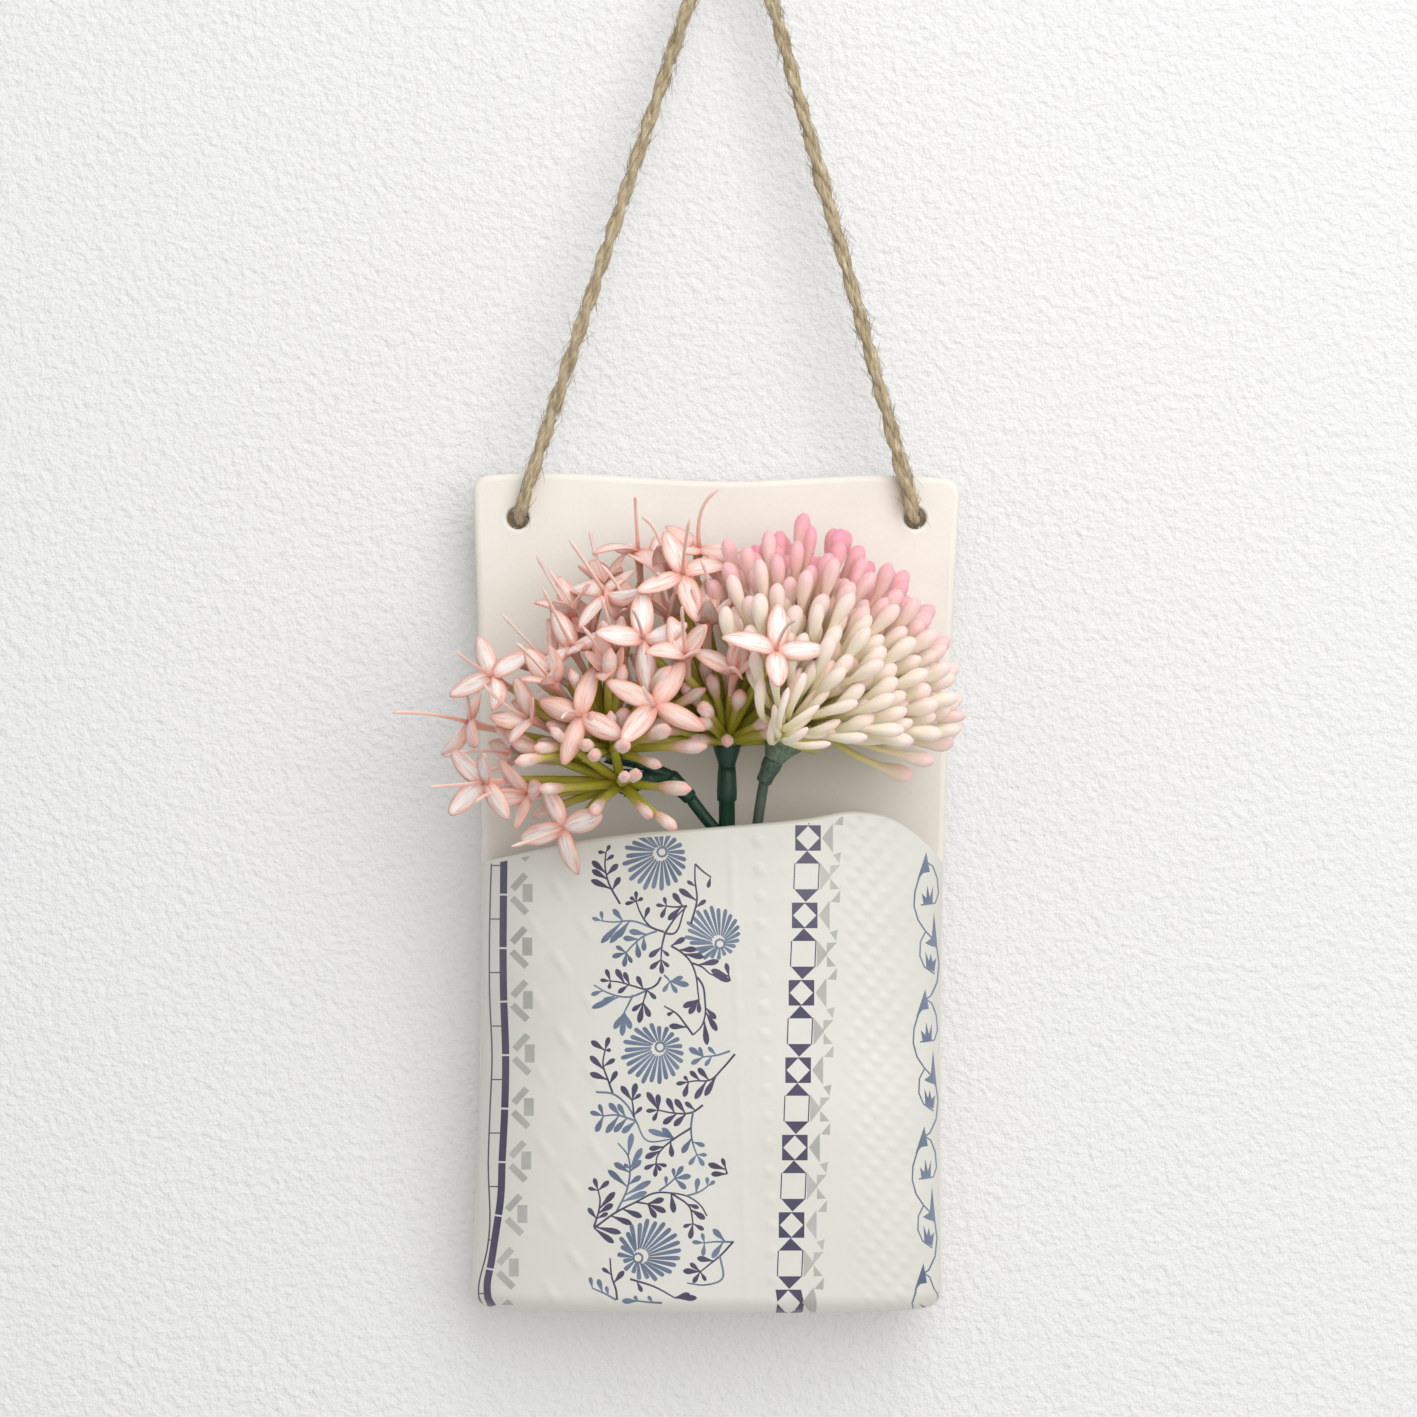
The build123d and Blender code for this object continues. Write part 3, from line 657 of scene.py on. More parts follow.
def rise_and_draw(b):
    """Height above the foot, and how far the foot's rounding draws the sheet in."""
    angle = np.clip(b / FOOT_ROUND, 0, math.pi / 2)
    rise = np.where(b > FOOT_ARC, FOOT_ROUND + b - FOOT_ARC, FOOT_ROUND * (1 - np.cos(angle)))
    return rise, FOOT_ROUND * (1 - np.sin(angle))


def sheet_height(rise):
    """Where the flat sheet has a height above the foot."""
    rounded = FOOT_ROUND * np.arccos(np.clip(1 - rise / FOOT_ROUND, -1, 1))
    return np.where(rise > FOOT_ROUND, FOOT_ARC + rise - FOOT_ROUND, rounded)


def pocket_spot(a, b):
    """A point of the pocket's plain outside."""
    rise, drawn = rise_and_draw(b)
    z = POCKET_FOOT + rise
    middle, half = pocket_sides(z, drawn)
    across = -np.cos(np.interp(a, ARC, PHI))
    depth = (pocket_depth(z) - drawn) * bulge_at(across) * np.clip(1 + b / UNDER, 0, 1)
    return np.stack([middle + across * half, PLATE_FRONT - depth, z], -1)


def sheet_normal(spot, a, b, step=0.05):
    a = np.clip(a, 2 * step, ARC[-1] - 2 * step)
    b = np.maximum(b, 2 * step - UNDER)
    normal = np.cross(spot(a + step, b) - spot(a - step, b), spot(a, b + step) - spot(a, b - step))
    return normal / np.maximum(np.linalg.norm(normal, axis=-1), 1e-9)[..., None]


def layout(pixels):
    """Where the flat sheet has the points that the camera sees at these pixels, found in rounds."""
    pixels = np.asarray(pixels, float)
    depth = np.full(len(pixels), SIGHT_DEPTH)
    for _ in range(SIGHT_ROUNDS):
        scale = PIXEL * (VIEW_DISTANCE - depth) / VIEW_DISTANCE
        x = VIEW_X + (pixels[:, 0] - MIDDLE_PIXEL) * scale
        z = VIEW_Z - (pixels[:, 1] - MIDDLE_PIXEL) * scale
        b = sheet_height(np.maximum(z - POCKET_FOOT, 0))
        drawn = rise_and_draw(b)[1]
        middle, half = pocket_sides(z, drawn)
        across = np.clip((x - middle) / half, -0.9995, 0.9995)
        depth = (pocket_depth(z) - drawn) * bulge_at(across)
    return np.column_stack([np.interp(np.arccos(-across), PHI, ARC), b])


def band(x, low, high, soft):
    """One between low and high, which fades to nothing outside."""
    return 1 / (1 + np.exp(-(x - low) / soft)) / (1 + np.exp((x - high) / soft))


def wave(x, period):
    return np.cos(x * 2 * math.pi / period)


def emboss(spot):
    """How far the pressed texture of the clay stands out, from three upright bands and a fold."""
    py = (VIEW_Z - spot[..., 2]) / PIXEL + MIDDLE_PIXEL
    px = (spot[..., 0] - VIEW_X) / PIXEL + MIDDLE_PIXEL - TEXTURE_SLANT * (py - TEXTURE_LEVEL)
    falling, rising = wave(px - py, QUILTED_PERIODS[0]), wave(px + py, QUILTED_PERIODS[1])
    quilted = (0.5 + 0.5 * falling) * (0.55 + 0.45 * rising)
    columns, rows = wave(px - LACE_X, LACE_PERIODS[0]), wave(py, LACE_PERIODS[1])
    lace = np.maximum(columns, 0) * np.maximum(rows, 0)
    strokes = np.maximum(np.sin((py - STROKES_SLANT * px) * 2 * math.pi / STROKES_PERIOD), 0) ** 3
    strokes *= 0.5 + 0.5 * np.cos(py * 2 * math.pi / STROKES_GAP + px / 9)
    fold = np.exp(-(((px - FOLD_X) / FOLD_WIDTH) ** 2)) * (0.6 + 0.4 * np.sin(py / 17))
    raised = QUILTED * quilted * band(px, *QUILTED_BAND) + LACE * lace * band(px, *LACE_BAND)
    return raised + STROKES * strokes * band(px, *STROKES_BAND) + FOLD * fold


def pocket_outside(a, b):
    """A point of the pocket's outside with its pressed texture, which fades out at the foot."""
    plain = pocket_spot(a, b)
    return plain + (emboss(plain) * np.clip(b / 6, 0, 1))[..., None] * sheet_normal(pocket_spot, a, b)


# Print: shapes in pixels of the photograph's frame. Later ones lie over earlier ones.

BARE, INDIGO, BLUE, GREY = range(4)
LEAF_STEPS = np.array([0.0, 0.2, 0.42, 0.62, 0.8, 0.93, 1.0])[:, None]
LEAF_WIDTHS = np.array([0.22, 0.34, 0.68, 0.98, 0.96, 0.6, 0.12])
STEM_ROOT, STEM_END = 2.3, 1.5
LEAF_SHARE, LEAF_NARROWEST, LEAF_WIDEST, LEAF_BACK = 0.36, 4.0, 6.2, 0.85
DAISY_STROKES, DAISY_START, DAISY_WAVER, DAISY_SQUASH = 23, 0.24, 0.06, 0.97
EYE_RADIUS, EYE_LINE = 4.6, 2.2
STROKE_STEPS = np.array([0.0, 0.3, 0.6, 0.85, 0.95, 1.0])[:, None]
STROKE_WIDTHS = 0.15 * np.array([0.35, 0.62, 0.88, 1.0, 0.9, 0.45])
prints = []


def ink(points, tone):
    prints.append((layout(points), tone))


def inside(points, loop):
    """Which of the points a closed loop winds round."""
    x, y = points.T
    turns = np.zeros(len(points), int)
    for (x0, y0), (x1, y1) in zip(loop, np.roll(loop, -1, axis=0)):
        side = (x1 - x0) * (y - y0) - (x - x0) * (y1 - y0)
        turns += (y0 <= y) & (y1 > y) & (side > 0)
        turns -= (y0 > y) & (y1 <= y) & (side < 0)
    return turns != 0


def ribbon(points, width, tone):
    """A line of some width, or of a width for each of its points."""
    points = np.asarray(points, float)
    ways = unit(np.gradient(points, axis=0))
    side = np.column_stack([-ways[:, 1], ways[:, 0]])
    half = np.broadcast_to(width, len(points))[:, None] / 2
    ink(np.vstack([points + side * half, (points - side * half)[::-1]]), tone)


def sprig(tone, points, tips):
    """A bent stem with a leaf to each tip, which starts a little way back from where the tip is nearest."""
    points = np.asarray(points, float)
    places = along_path(points)
    stops = np.linspace(0, places[-1], 7 * len(points))
    stem = np.column_stack([smooth_through(stops, places, column) for column in points.T])
    run = along_path(stem)
    ribbon(stem, np.linspace(STEM_ROOT, STEM_END, len(stem)), tone)
    for tip in np.array(tips, float).reshape(-1, 2):
        away = np.linalg.norm(stem - tip, axis=1)
        near = np.argmin(away)
        stop = max(run[near] - LEAF_BACK * away[near], 0) if near < len(stem) - 1 else run[-1] - 0.5
        base = points_at([stop], run, stem)[0]
        width = np.clip(LEAF_SHARE * np.linalg.norm(tip - base), LEAF_NARROWEST, LEAF_WIDEST)
        ribbon(base + (tip - base) * LEAF_STEPS, width * LEAF_WIDTHS, tone)


def daisy(middle, eye, radius):
    """A round flower of narrow strokes about an eye that sits off its middle."""
    ring = np.arange(13) * 2 * math.pi / 12
    ribbon(eye + EYE_RADIUS * np.column_stack([np.cos(ring), np.sin(ring)]), EYE_LINE, BLUE)
    for k in range(DAISY_STROKES):
        angle = k * 2 * math.pi / DAISY_STROKES
        reach = radius * (1.0 + DAISY_WAVER * math.sin(3.0 * k))
        rim = middle + reach * np.array([math.cos(angle), DAISY_SQUASH * math.sin(angle)])
        start = eye + DAISY_START * (rim - eye)
        ribbon(start + (rim - start) * STROKE_STEPS, radius * STROKE_WIDTHS, BLUE)


# Left border: a thin line, a dark stripe and grey chevrons, which all swing out towards the foot
STRIPE_Y = [846, 990, 1060, 1110, 1160, 1200, 1230, 1260, 1290, 1300, 1309]
STRIPE_X = [500.2, 499.8, 502.0, 501.0, 498.5, 496.8, 492.5, 488.0, 483.5, 485.0, 491.0]
LINE_Y = [846, 900, 990, 1060, 1110, 1160, 1240, 1253, 1265, 1278, 1290, 1298, 1306]
LINE_X = [492.0, 490.2, 489.5, 492.0, 490.0, 488.3, 488.5, 486.5, 483.5, 480.0, 478.5, 479.2, 483.0]
STRIPE_WIDTH, LINE_WIDTH, TICK_WIDTH, TICK_SHARE = 7.3, 1.6, 1.2, 0.44
BORDER_TOP, BORDER_PERIOD, BORDER_GAP, BORDER_END = 842.0, 53.5, 1.8, 1307.0
BORDER_REPEATS = 9
CHEVRON_BARS = [
    (6.8, [(5.5, -6.5), (18.5, -21.0)]),
    (6.8, [(5.0, 2.5), (20.0, 17.5)]),
    (10.0, [(20.5, -11.5), (20.5, 6.5)]),
]
LAST_CHEVRON = [(501, 1305), (508, 1299), (514, 1305)]


def stripe_x(y):
    return smooth_through(y, STRIPE_Y, STRIPE_X)


def line_x(y):
    return smooth_through(y, LINE_Y, LINE_X)


for k in range(BORDER_REPEATS):
    top = BORDER_TOP + BORDER_PERIOD * k
    ys = np.linspace(top, min(top + BORDER_PERIOD - BORDER_GAP, BORDER_END), 9)
    ribbon(np.column_stack([stripe_x(ys) + STRIPE_WIDTH / 2, ys]), STRIPE_WIDTH, INDIGO)
    ys = np.linspace(top, min(top + BORDER_PERIOD, BORDER_END), 9)
    ribbon(np.column_stack([line_x(ys), ys]), LINE_WIDTH, INDIGO)
    tick = top + TICK_SHARE * BORDER_PERIOD
    ribbon([(line_x(tick), tick), (stripe_x(tick), tick)], TICK_WIDTH, INDIGO)
    for width, bar in CHEVRON_BARS:
        ribbon(np.array(bar) + (stripe_x(top) + STRIPE_WIDTH, top), width, GREY)
ink(LAST_CHEVRON, GREY)

# Flower band: each daisy's middle, eye and radius, then each sprig's tone, stem and leaf tips
DAISIES = [
    ((655, 860), (662, 852), 31.0),
    ((713, 933), (720, 944), 27.0),
    ((653, 1054), (660, 1047), 30.5),
    ((650, 1250), (638, 1258), 31.0),
]
SPRIGS = [
    (INDIGO, [(620, 904), (608, 881), (605, 866), (606, 852)],
     [(610, 845), (614, 855), (618, 864), (620, 877), (598, 852), (592, 861), (592, 870), (591, 880)]),
    (BLUE, [(655, 929), (632, 921), (612, 922), (602, 921)],
     [(592, 918), (613, 909), (601, 911), (601, 943), (610, 943), (617, 938)]),
    (INDIGO, [(664, 932), (651, 927), (640, 912), (636, 901)],
     [(625, 904), (630, 897), (636, 891), (643, 898), (649, 907)]),
    (BLUE, [(657, 931), (644, 936), (633, 945), (626, 953)],
     [(623, 938), (629, 931), (616, 946), (612, 957), (644, 951), (639, 958), (632, 963), (624, 967)]),
    (INDIGO, [(664, 933), (672, 934), (685, 908)], []),
    (INDIGO, [(665, 933), (676, 917), (687, 906)], []),
    (INDIGO, [(687, 906), (675, 907), (666, 906)],
     [(656, 905), (664, 897), (673, 893), (661, 918), (668, 920)]),
    (INDIGO, [(665, 933), (662, 946), (661, 960)],
     [(662, 974), (649, 957), (650, 969), (669, 956), (669, 967)]),
    (INDIGO, [(691, 924), (697, 898), (695, 880), (695, 864)], [(687, 881), (679, 889), (706, 900)]),
    (INDIGO, [(695, 864), (705, 873), (711, 877)], [(708, 888)]),
    (INDIGO, [(671, 946), (681, 952), (690, 961), (695, 972), (698, 992), (699, 1000)],
     [(685, 938), (696, 949), (704, 957), (683, 1007), (689, 1014), (699, 1013)]),
    (INDIGO, [(692, 963), (702, 967), (710, 974)], [(719, 961), (730, 981)]),
    (INDIGO, [(730, 981), (729, 976)], [(726, 963), (711, 970)]),
    (INDIGO, [(697, 977), (702, 984), (705, 1001), (705, 1016), (701, 1027), (693, 1035)],
     [(716, 1019), (717, 1031), (707, 1045)]),
    (INDIGO, [(693, 1035), (685, 1024), (677, 1014), (664, 1006)], [(667, 1015), (669, 1026)]),
    (INDIGO, [(661, 977), (657, 984), (648, 989), (633, 986), (619, 982), (610, 981)],
     [(600, 980), (606, 969), (616, 969), (624, 972), (637, 976), (609, 989), (618, 993)]),
    (BLUE, [(648, 990), (629, 997), (606, 992), (594, 985)], [(591, 995), (592, 1008), (602, 1002)]),
    (BLUE, [(633, 995), (624, 1013)], [(614, 1029), (622, 1036), (631, 1029)]),
    (INDIGO, [(647, 990), (643, 1003)], [(632, 1011), (639, 1023), (650, 1017), (656, 999)]),
    (BLUE, [(664, 975), (668, 979), (670, 982)], [(683, 977), (689, 985), (677, 993), (663, 992)]),
    (INDIGO, [(613, 1094), (608, 1080), (603, 1064), (605, 1050)],
     [(609, 1037), (611, 1050), (615, 1059), (617, 1071), (591, 1041), (590, 1056), (590, 1073)]),
    (BLUE, [(596, 1092), (613, 1094), (626, 1104), (636, 1121), (646, 1140), (674, 1139)], []),
    (BLUE, [(636, 1121), (616, 1115), (603, 1116)],
     [(590, 1112), (599, 1104), (609, 1103), (618, 1104),
      (596, 1132), (606, 1133), (614, 1132), (622, 1133)]),
    (INDIGO, [(634, 1117), (633, 1107), (632, 1100)], [(621, 1086), (636, 1083), (641, 1094), (642, 1107)]),
    (BLUE, [(730, 1051), (718, 1055), (703, 1057)],
     [(689, 1048), (699, 1047), (708, 1047), (691, 1064), (705, 1066)]),
    (INDIGO, [(735, 1054), (723, 1068), (710, 1080), (694, 1081), (688, 1082)],
     [(676, 1084), (684, 1076), (690, 1071), (698, 1068), (684, 1097), (695, 1099), (705, 1096)]),
    (INDIGO, [(703, 1105), (693, 1112), (673, 1113), (658, 1110)],
     [(646, 1111), (647, 1092), (658, 1094), (667, 1098), (675, 1099),
      (685, 1102), (653, 1121), (663, 1124), (674, 1126)]),
    (BLUE, [(693, 1112), (691, 1128), (693, 1144), (697, 1155)],
     [(705, 1146), (707, 1155), (704, 1166), (682, 1153), (689, 1165)]),
    (BLUE, [(691, 1128), (674, 1139)], [(648, 1130), (662, 1128)]),
    (INDIGO, [(691, 1128), (674, 1139), (663, 1148), (657, 1157), (656, 1164)],
     [(655, 1177), (649, 1149), (645, 1158), (644, 1169), (661, 1171), (667, 1166), (672, 1157)]),
    (INDIGO, [(727, 1174), (726, 1169)], [(722, 1158), (708, 1164), (711, 1174)]),
    (BLUE, [(616, 1213), (628, 1186), (630, 1169), (628, 1156), (618, 1143)],
     [(632, 1133), (642, 1148), (641, 1160), (641, 1176), (651, 1181),
      (647, 1192), (624, 1164), (614, 1163), (608, 1170)]),
    (INDIGO, [(594, 1227), (599, 1210), (600, 1199), (598, 1190)],
     [(594, 1178), (609, 1181), (615, 1192), (613, 1204), (608, 1213), (588, 1188), (588, 1208)]),
    (INDIGO,
     [(594, 1228), (615, 1213), (636, 1202), (655, 1193), (671, 1193), (689, 1197), (701, 1206), (707, 1216)],
     [(642, 1217), (632, 1224), (621, 1233), (614, 1243)]),
    (INDIGO, [(636, 1202), (648, 1204)], [(664, 1199), (666, 1212), (656, 1218)]),
    (INDIGO, [(671, 1193), (690, 1208), (693, 1224)],
     [(690, 1239), (699, 1208), (705, 1219), (704, 1230), (683, 1227), (674, 1213)]),
    (BLUE, [(659, 1191), (671, 1182), (675, 1178)],
     [(666, 1176), (673, 1168), (683, 1166), (691, 1176), (686, 1189)]),
    (BLUE, [(687, 1196), (701, 1191), (708, 1186)], [(715, 1181), (698, 1178), (707, 1177)]),
    (BLUE, [(734, 1242), (712, 1242), (704, 1243)],
     [(692, 1242), (713, 1229), (702, 1233), (703, 1256), (712, 1258)]),
    (INDIGO, [(733, 1242), (721, 1255), (710, 1264), (700, 1272)],
     [(693, 1283), (697, 1258), (690, 1263), (683, 1271), (706, 1281)]),
    (BLUE, [(720, 1256), (722, 1279), (704, 1285), (687, 1283)], []),
    (INDIGO, [(630, 1279), (655, 1287), (675, 1298)], [(642, 1292), (690, 1294), (697, 1298)]),
    (INDIGO, [(617, 1300), (616, 1290), (612, 1278), (610, 1258)], [(602, 1268), (624, 1271)]),
    (BLUE, [(616, 1300), (604, 1293), (592, 1288)], [(590, 1277), (598, 1279), (606, 1286)]),
    (BLUE, [(662, 1303), (646, 1302), (638, 1301)], [(622, 1301), (634, 1296), (648, 1296)]),
]
for middle, eye, radius in DAISIES:
    daisy(np.array(middle, float), np.array(eye, float), radius)
for tone, stem, tips in SPRIGS:
    sprig(tone, stem, tips)

# Quilt border: dark squares with bare diamonds, joined by triangles and lines, with grey shapes beside them
QUILT_X, QUILT_Y, QUILT_PERIOD, QUILT_SLANT = 808.0, 838.0, 77.4, 0.0425
QUILT_HALF = 12.8
QUILT_UPPER = [
    (INDIGO, [(-QUILT_HALF, -QUILT_HALF), (QUILT_HALF, -QUILT_HALF),
              (QUILT_HALF, QUILT_HALF), (-QUILT_HALF, QUILT_HALF)]),
    (BARE, [(0, 0.8 - QUILT_HALF), (QUILT_HALF - 1.2, 0), (0, QUILT_HALF - 0.8), (1.2 - QUILT_HALF, 0)]),
    (INDIGO, [(-1, QUILT_HALF), (QUILT_HALF - 1, 2 * QUILT_HALF), (-QUILT_HALF, 2 * QUILT_HALF)]),
]
QUILT_LINES = [
    [(side * (QUILT_HALF - 0.6) - 1, 2 * QUILT_HALF), (side * (QUILT_HALF - 0.6) - 2, 4 * QUILT_HALF)]
    for side in (-1, 1)
]
QUILT_LINE_WIDTH, QUILT_FIRST, QUILT_LAST = 1.2, -1, 6
QUILT_LOWER = [
    (INDIGO, [(-QUILT_HALF - 1, 4 * QUILT_HALF), (QUILT_HALF - 2, 4 * QUILT_HALF), (-2.4, 5 * QUILT_HALF)]),
    (GREY, [(25, -15), (25, 15), (14, 0)]),
    (GREY, [(12, 3 * QUILT_HALF - 14), (12, 3 * QUILT_HALF + 14), (23, 3 * QUILT_HALF)]),
    (GREY, [(33.2, 14.1), (31.3, 25.5), (25.0, 16.9)]),
    (GREY, [(22.1, 27.4), (32.3, 27.0), (21.7, 39.0)]),
    (GREY, [(22.1, 40.1), (31.3, 50.9), (22.1, 51.6)]),
    (GREY, [(32.3, 52.4), (31.7, 64.7), (22.7, 64.0)]),
]
for k in range(QUILT_FIRST, QUILT_LAST + 1):
    corner = np.array([QUILT_X - QUILT_SLANT * QUILT_PERIOD * k, QUILT_Y + QUILT_PERIOD * k])
    for tone, shape in QUILT_UPPER:
        ink(corner + shape, tone)
    for line in QUILT_LINES:
        ribbon(corner + line, QUILT_LINE_WIDTH, INDIGO)
    for tone, shape in QUILT_LOWER:
        ink(corner + shape, tone)

# Right border: a scrolling line with thorns and small crowns
SCROLL_PERIOD, SCROLL_LEFT, SCROLL_DRAWN_LEFT, SCROLL_NARROWED = 137.0, 917.0, 913.5, 0.91
SCROLL_REPEATS = 4
SCROLL_LINES = [
    (1.6, [(931, 862), (923, 878), (918.5, 892), (917.5, 906), (922, 920), (930, 931),
           (938, 939), (943, 950), (945, 964), (943, 982), (936, 996), (931, 999)]),
    (1.5, [(931, 862), (938, 866), (943, 878), (944.5, 893), (941, 903), (925, 905)]),
    (1.5, [(930, 932), (924.5, 942), (924, 956), (929, 967), (940, 974)]),
]
SCROLL_SHAPES = [
    [(931, 852), (933.5, 864), (935, 872), (928, 873), (921, 880)],
    [(939.5, 912), (941.5, 930), (943.5, 948), (936, 946), (929.5, 943), (937, 938)],
    [(928, 904), (926, 893), (931, 898), (932, 885), (935, 897), (938.5, 886), (938, 904)],
    [(931, 968), (930, 951), (934, 961), (936, 953), (938, 962), (942, 958), (940, 972)],
]


def scroll_spot(points, k):
    """Points of the border's first scroll, moved to the k-th one."""
    x, y = np.array(points, float).T
    left = SCROLL_DRAWN_LEFT - k
    return np.column_stack([left + SCROLL_NARROWED * (x - SCROLL_LEFT), y + SCROLL_PERIOD * k])


for k in range(SCROLL_REPEATS):
    for width, line in SCROLL_LINES:
        ribbon(scroll_spot(line, k), width, BLUE)
    for shape in SCROLL_SHAPES:
        ink(scroll_spot(shape, k), BLUE)

# The sheet's own outline, and rows of points inside it
LIP_RISE, LIP_ROWS, INNER_ROWS = 1.0, 8, 30
RIM_STEPS, RIM_ROUNDS, SIDE_STEPS = 260, 8, 160
GRID_STEP, GRID_RISE, GRID_MARGIN = 0.68, 0.612, 0.35


def grid_row(k, b):
    """One row of points on the sheet. Every second row is shifted by half a step."""
    a = np.arange(0.4 + (k % 2) * GRID_STEP / 2, ARC[-1] - 0.3, GRID_STEP)
    return np.column_stack([a, np.full(len(a), b)])


rim_a = np.interp(np.linspace(0, math.pi, RIM_STEPS), PHI, ARC)
rim_z = np.full(len(rim_a), RIM_PEAK)
for _ in range(RIM_ROUNDS):
    rim_z = rim_height(pocket_spot(rim_a, rim_z - POCKET_FOOT - FOOT_ROUND + FOOT_ARC)[:, 0])
rim_b = rim_z - LIP_RISE - POCKET_FOOT - FOOT_ROUND + FOOT_ARC
down = np.linspace(0, 1, SIDE_STEPS)[1:-1]
right_side = np.column_stack([np.full(len(down), ARC[-1]), rim_b[-1] + (-UNDER - rim_b[-1]) * down])
left_side = np.column_stack([np.zeros(len(down)), -UNDER + (rim_b[0] + UNDER) * down])
foot = np.column_stack([rim_a, np.full(len(rim_a), -UNDER)])
outline = np.vstack([np.column_stack([rim_a, rim_b]), right_side, foot[::-1], left_side])[::-1]
levels = np.arange(-UNDER + 0.5, rim_b.max(), GRID_RISE)
grid = np.vstack([grid_row(k, b) for k, b in enumerate(levels)])
grid = grid[grid[:, 1] < np.interp(grid[:, 0], rim_a, rim_b) - GRID_MARGIN]


def cut_sheet():
    """The flat sheet's points and faces, cut along the edges of the print, and the tone of each face."""
    flat, edges = [*outline], []
    for points, _ in prints:
        first, count = len(flat), len(points)
        edges += [(first + k, first + (k + 1) % count) for k in range(count)]
        flat += [*points]
    border = [list(range(len(outline)))]
    cut = geometry.delaunay_2d_cdt([Vector(p) for p in [*flat, *grid]], edges, border, 0, 1e-5)
    ab = np.array([tuple(v) for v in cut[0]])
    faces = [tuple(face) for face, inputs in zip(cut[2], cut[5]) if 0 in inputs]
    middles = np.array([ab[list(face)].mean(axis=0) for face in faces])
    tones = np.full(len(faces), BARE)
    for points, tone in prints:
        boxed = (middles >= points.min(axis=0)) & (middles <= points.max(axis=0))
        near = np.where(np.all(boxed, axis=1))[0]
        tones[near[inside(middles[near], points)]] = tone
    used = np.unique(np.concatenate(faces))
    renumber = np.full(len(ab), -1)
    renumber[used] = np.arange(len(used))
    corners = np.array([ab[list(face[:3])] for face in faces])
    clockwise = np.cross(corners[:, 1] - corners[:, 0], corners[:, 2] - corners[:, 0]) < 0
    faces = [tuple(renumber[list(face)].tolist()) for face in faces]
    faces = [face[::-1] if turned_over else face for face, turned_over in zip(faces, clockwise)]
    return ab[used], faces, tones.tolist()


ab, faces, tones = cut_sheet()
verts, normals = pocket_outside(*ab.T), sheet_normal(pocket_outside, *ab.T)
on_plate = (ab[:, 0] < 1e-6) | (ab[:, 0] > ARC[-1] - 1e-6) | (ab[:, 1] < 1e-6 - UNDER)
verts[on_plate, 1] = PLATE_FRONT

# The lip rolls over the rim, and the inside runs down from it to the floor
on_rim = np.where(np.abs(ab[:, 1] - np.interp(ab[:, 0], rim_a, rim_b)) < 1e-4)[0]
on_rim = on_rim[np.argsort(ab[on_rim, 0])]
rim_a, rim_b = ab[on_rim].T
rim_out = sheet_normal(pocket_spot, rim_a, rim_b)
rim_up = unit(np.array([0, 0, 1.0]) - rim_out * rim_out[:, 2:3])
wall_middle = verts[on_rim] - rim_out * POCKET_WALL / 2
layers, layer_normals = [verts], [normals]
for angle in np.linspace(0, math.pi, LIP_ROWS + 1)[1:]:
    roll = POCKET_WALL / 2 * math.cos(angle) * rim_out + LIP_RISE * math.sin(angle) * rim_up
    layers.append(wall_middle + roll)
    layer_normals.append(math.cos(angle) * rim_out + math.sin(angle) * rim_up)
for share in np.linspace(0, 1, INNER_ROWS + 1)[1:]:
    b = rim_b + (-UNDER - rim_b) * share
    away = sheet_normal(pocket_spot, rim_a, b)
    layers.append(pocket_spot(rim_a, b) - away * POCKET_WALL)
    layer_normals.append(-away)
layers[-1][:, 1] = PLATE_FRONT
last_row, first_new = on_rim.tolist(), len(verts)
for layer in layers[1:]:
    layer[[0, -1], 1] = PLATE_FRONT
    row = list(range(first_new, first_new + len(layer)))
    faces += zip(last_row[:-1], last_row[1:], row[1:], row[:-1])
    last_row, first_new = row, first_new + len(layer)
tones += [BARE] * (len(faces) - len(tones))
sheet = (np.vstack(layers), faces, GLAZES)
piece("pocket_slab", *sheet, "vase", "glaze", ["front_pocket"], None, tones, np.vstack(layer_normals))


# Stems with their sheaths and cups

SPRAY_FOOT, UPPER_SOCKET = np.array([-1.3, -6.521, -274.434]), np.array([-1.3, -22.935, -170.8])
FORK, BRANCH_BEND = np.array([-1.3, -20.306, -187.4]), at(-7.0, 20.0, 5.2)
BRANCH_NODE = at(-9.3, 21.0, 6.8)
LOWER_SOCKET, LEFT_SOCKET = at(-14.0, 23.2, 6.1), at(-16.4, 23.6, 10.0)
LIFT = unit(UPPER_SOCKET - SPRAY_FOOT)
SOCKETS = {
    "upper": (UPPER_SOCKET, LIFT),
    "left": (LEFT_SOCKET, unit(LEFT_SOCKET - BRANCH_NODE)),
    "lower": (LOWER_SOCKET, unit(LOWER_SOCKET - BRANCH_NODE)),
}
SOCKET_LENGTH = 4.6
HUBS = {name: base + axis * SOCKET_LENGTH for name, (base, axis) in SOCKETS.items()}
GLOBE_FOOT, GLOBE_BEND = np.array([4.4, -5.914, -274.528]), np.array([4.4, -20.505, -182.4])
GLOBE_NECK = at(9.1, 17.6, 5.4)
HEAD_AXIS = toward(0.42, 0.12, 0.90)
COLLAR_TOP = GLOBE_NECK + HEAD_AXIS * 5.0
CALYX_TOP = COLLAR_TOP + HEAD_AXIS * 4.6
GLOBE_HUB = CALYX_TOP + HEAD_AXIS * 4.5

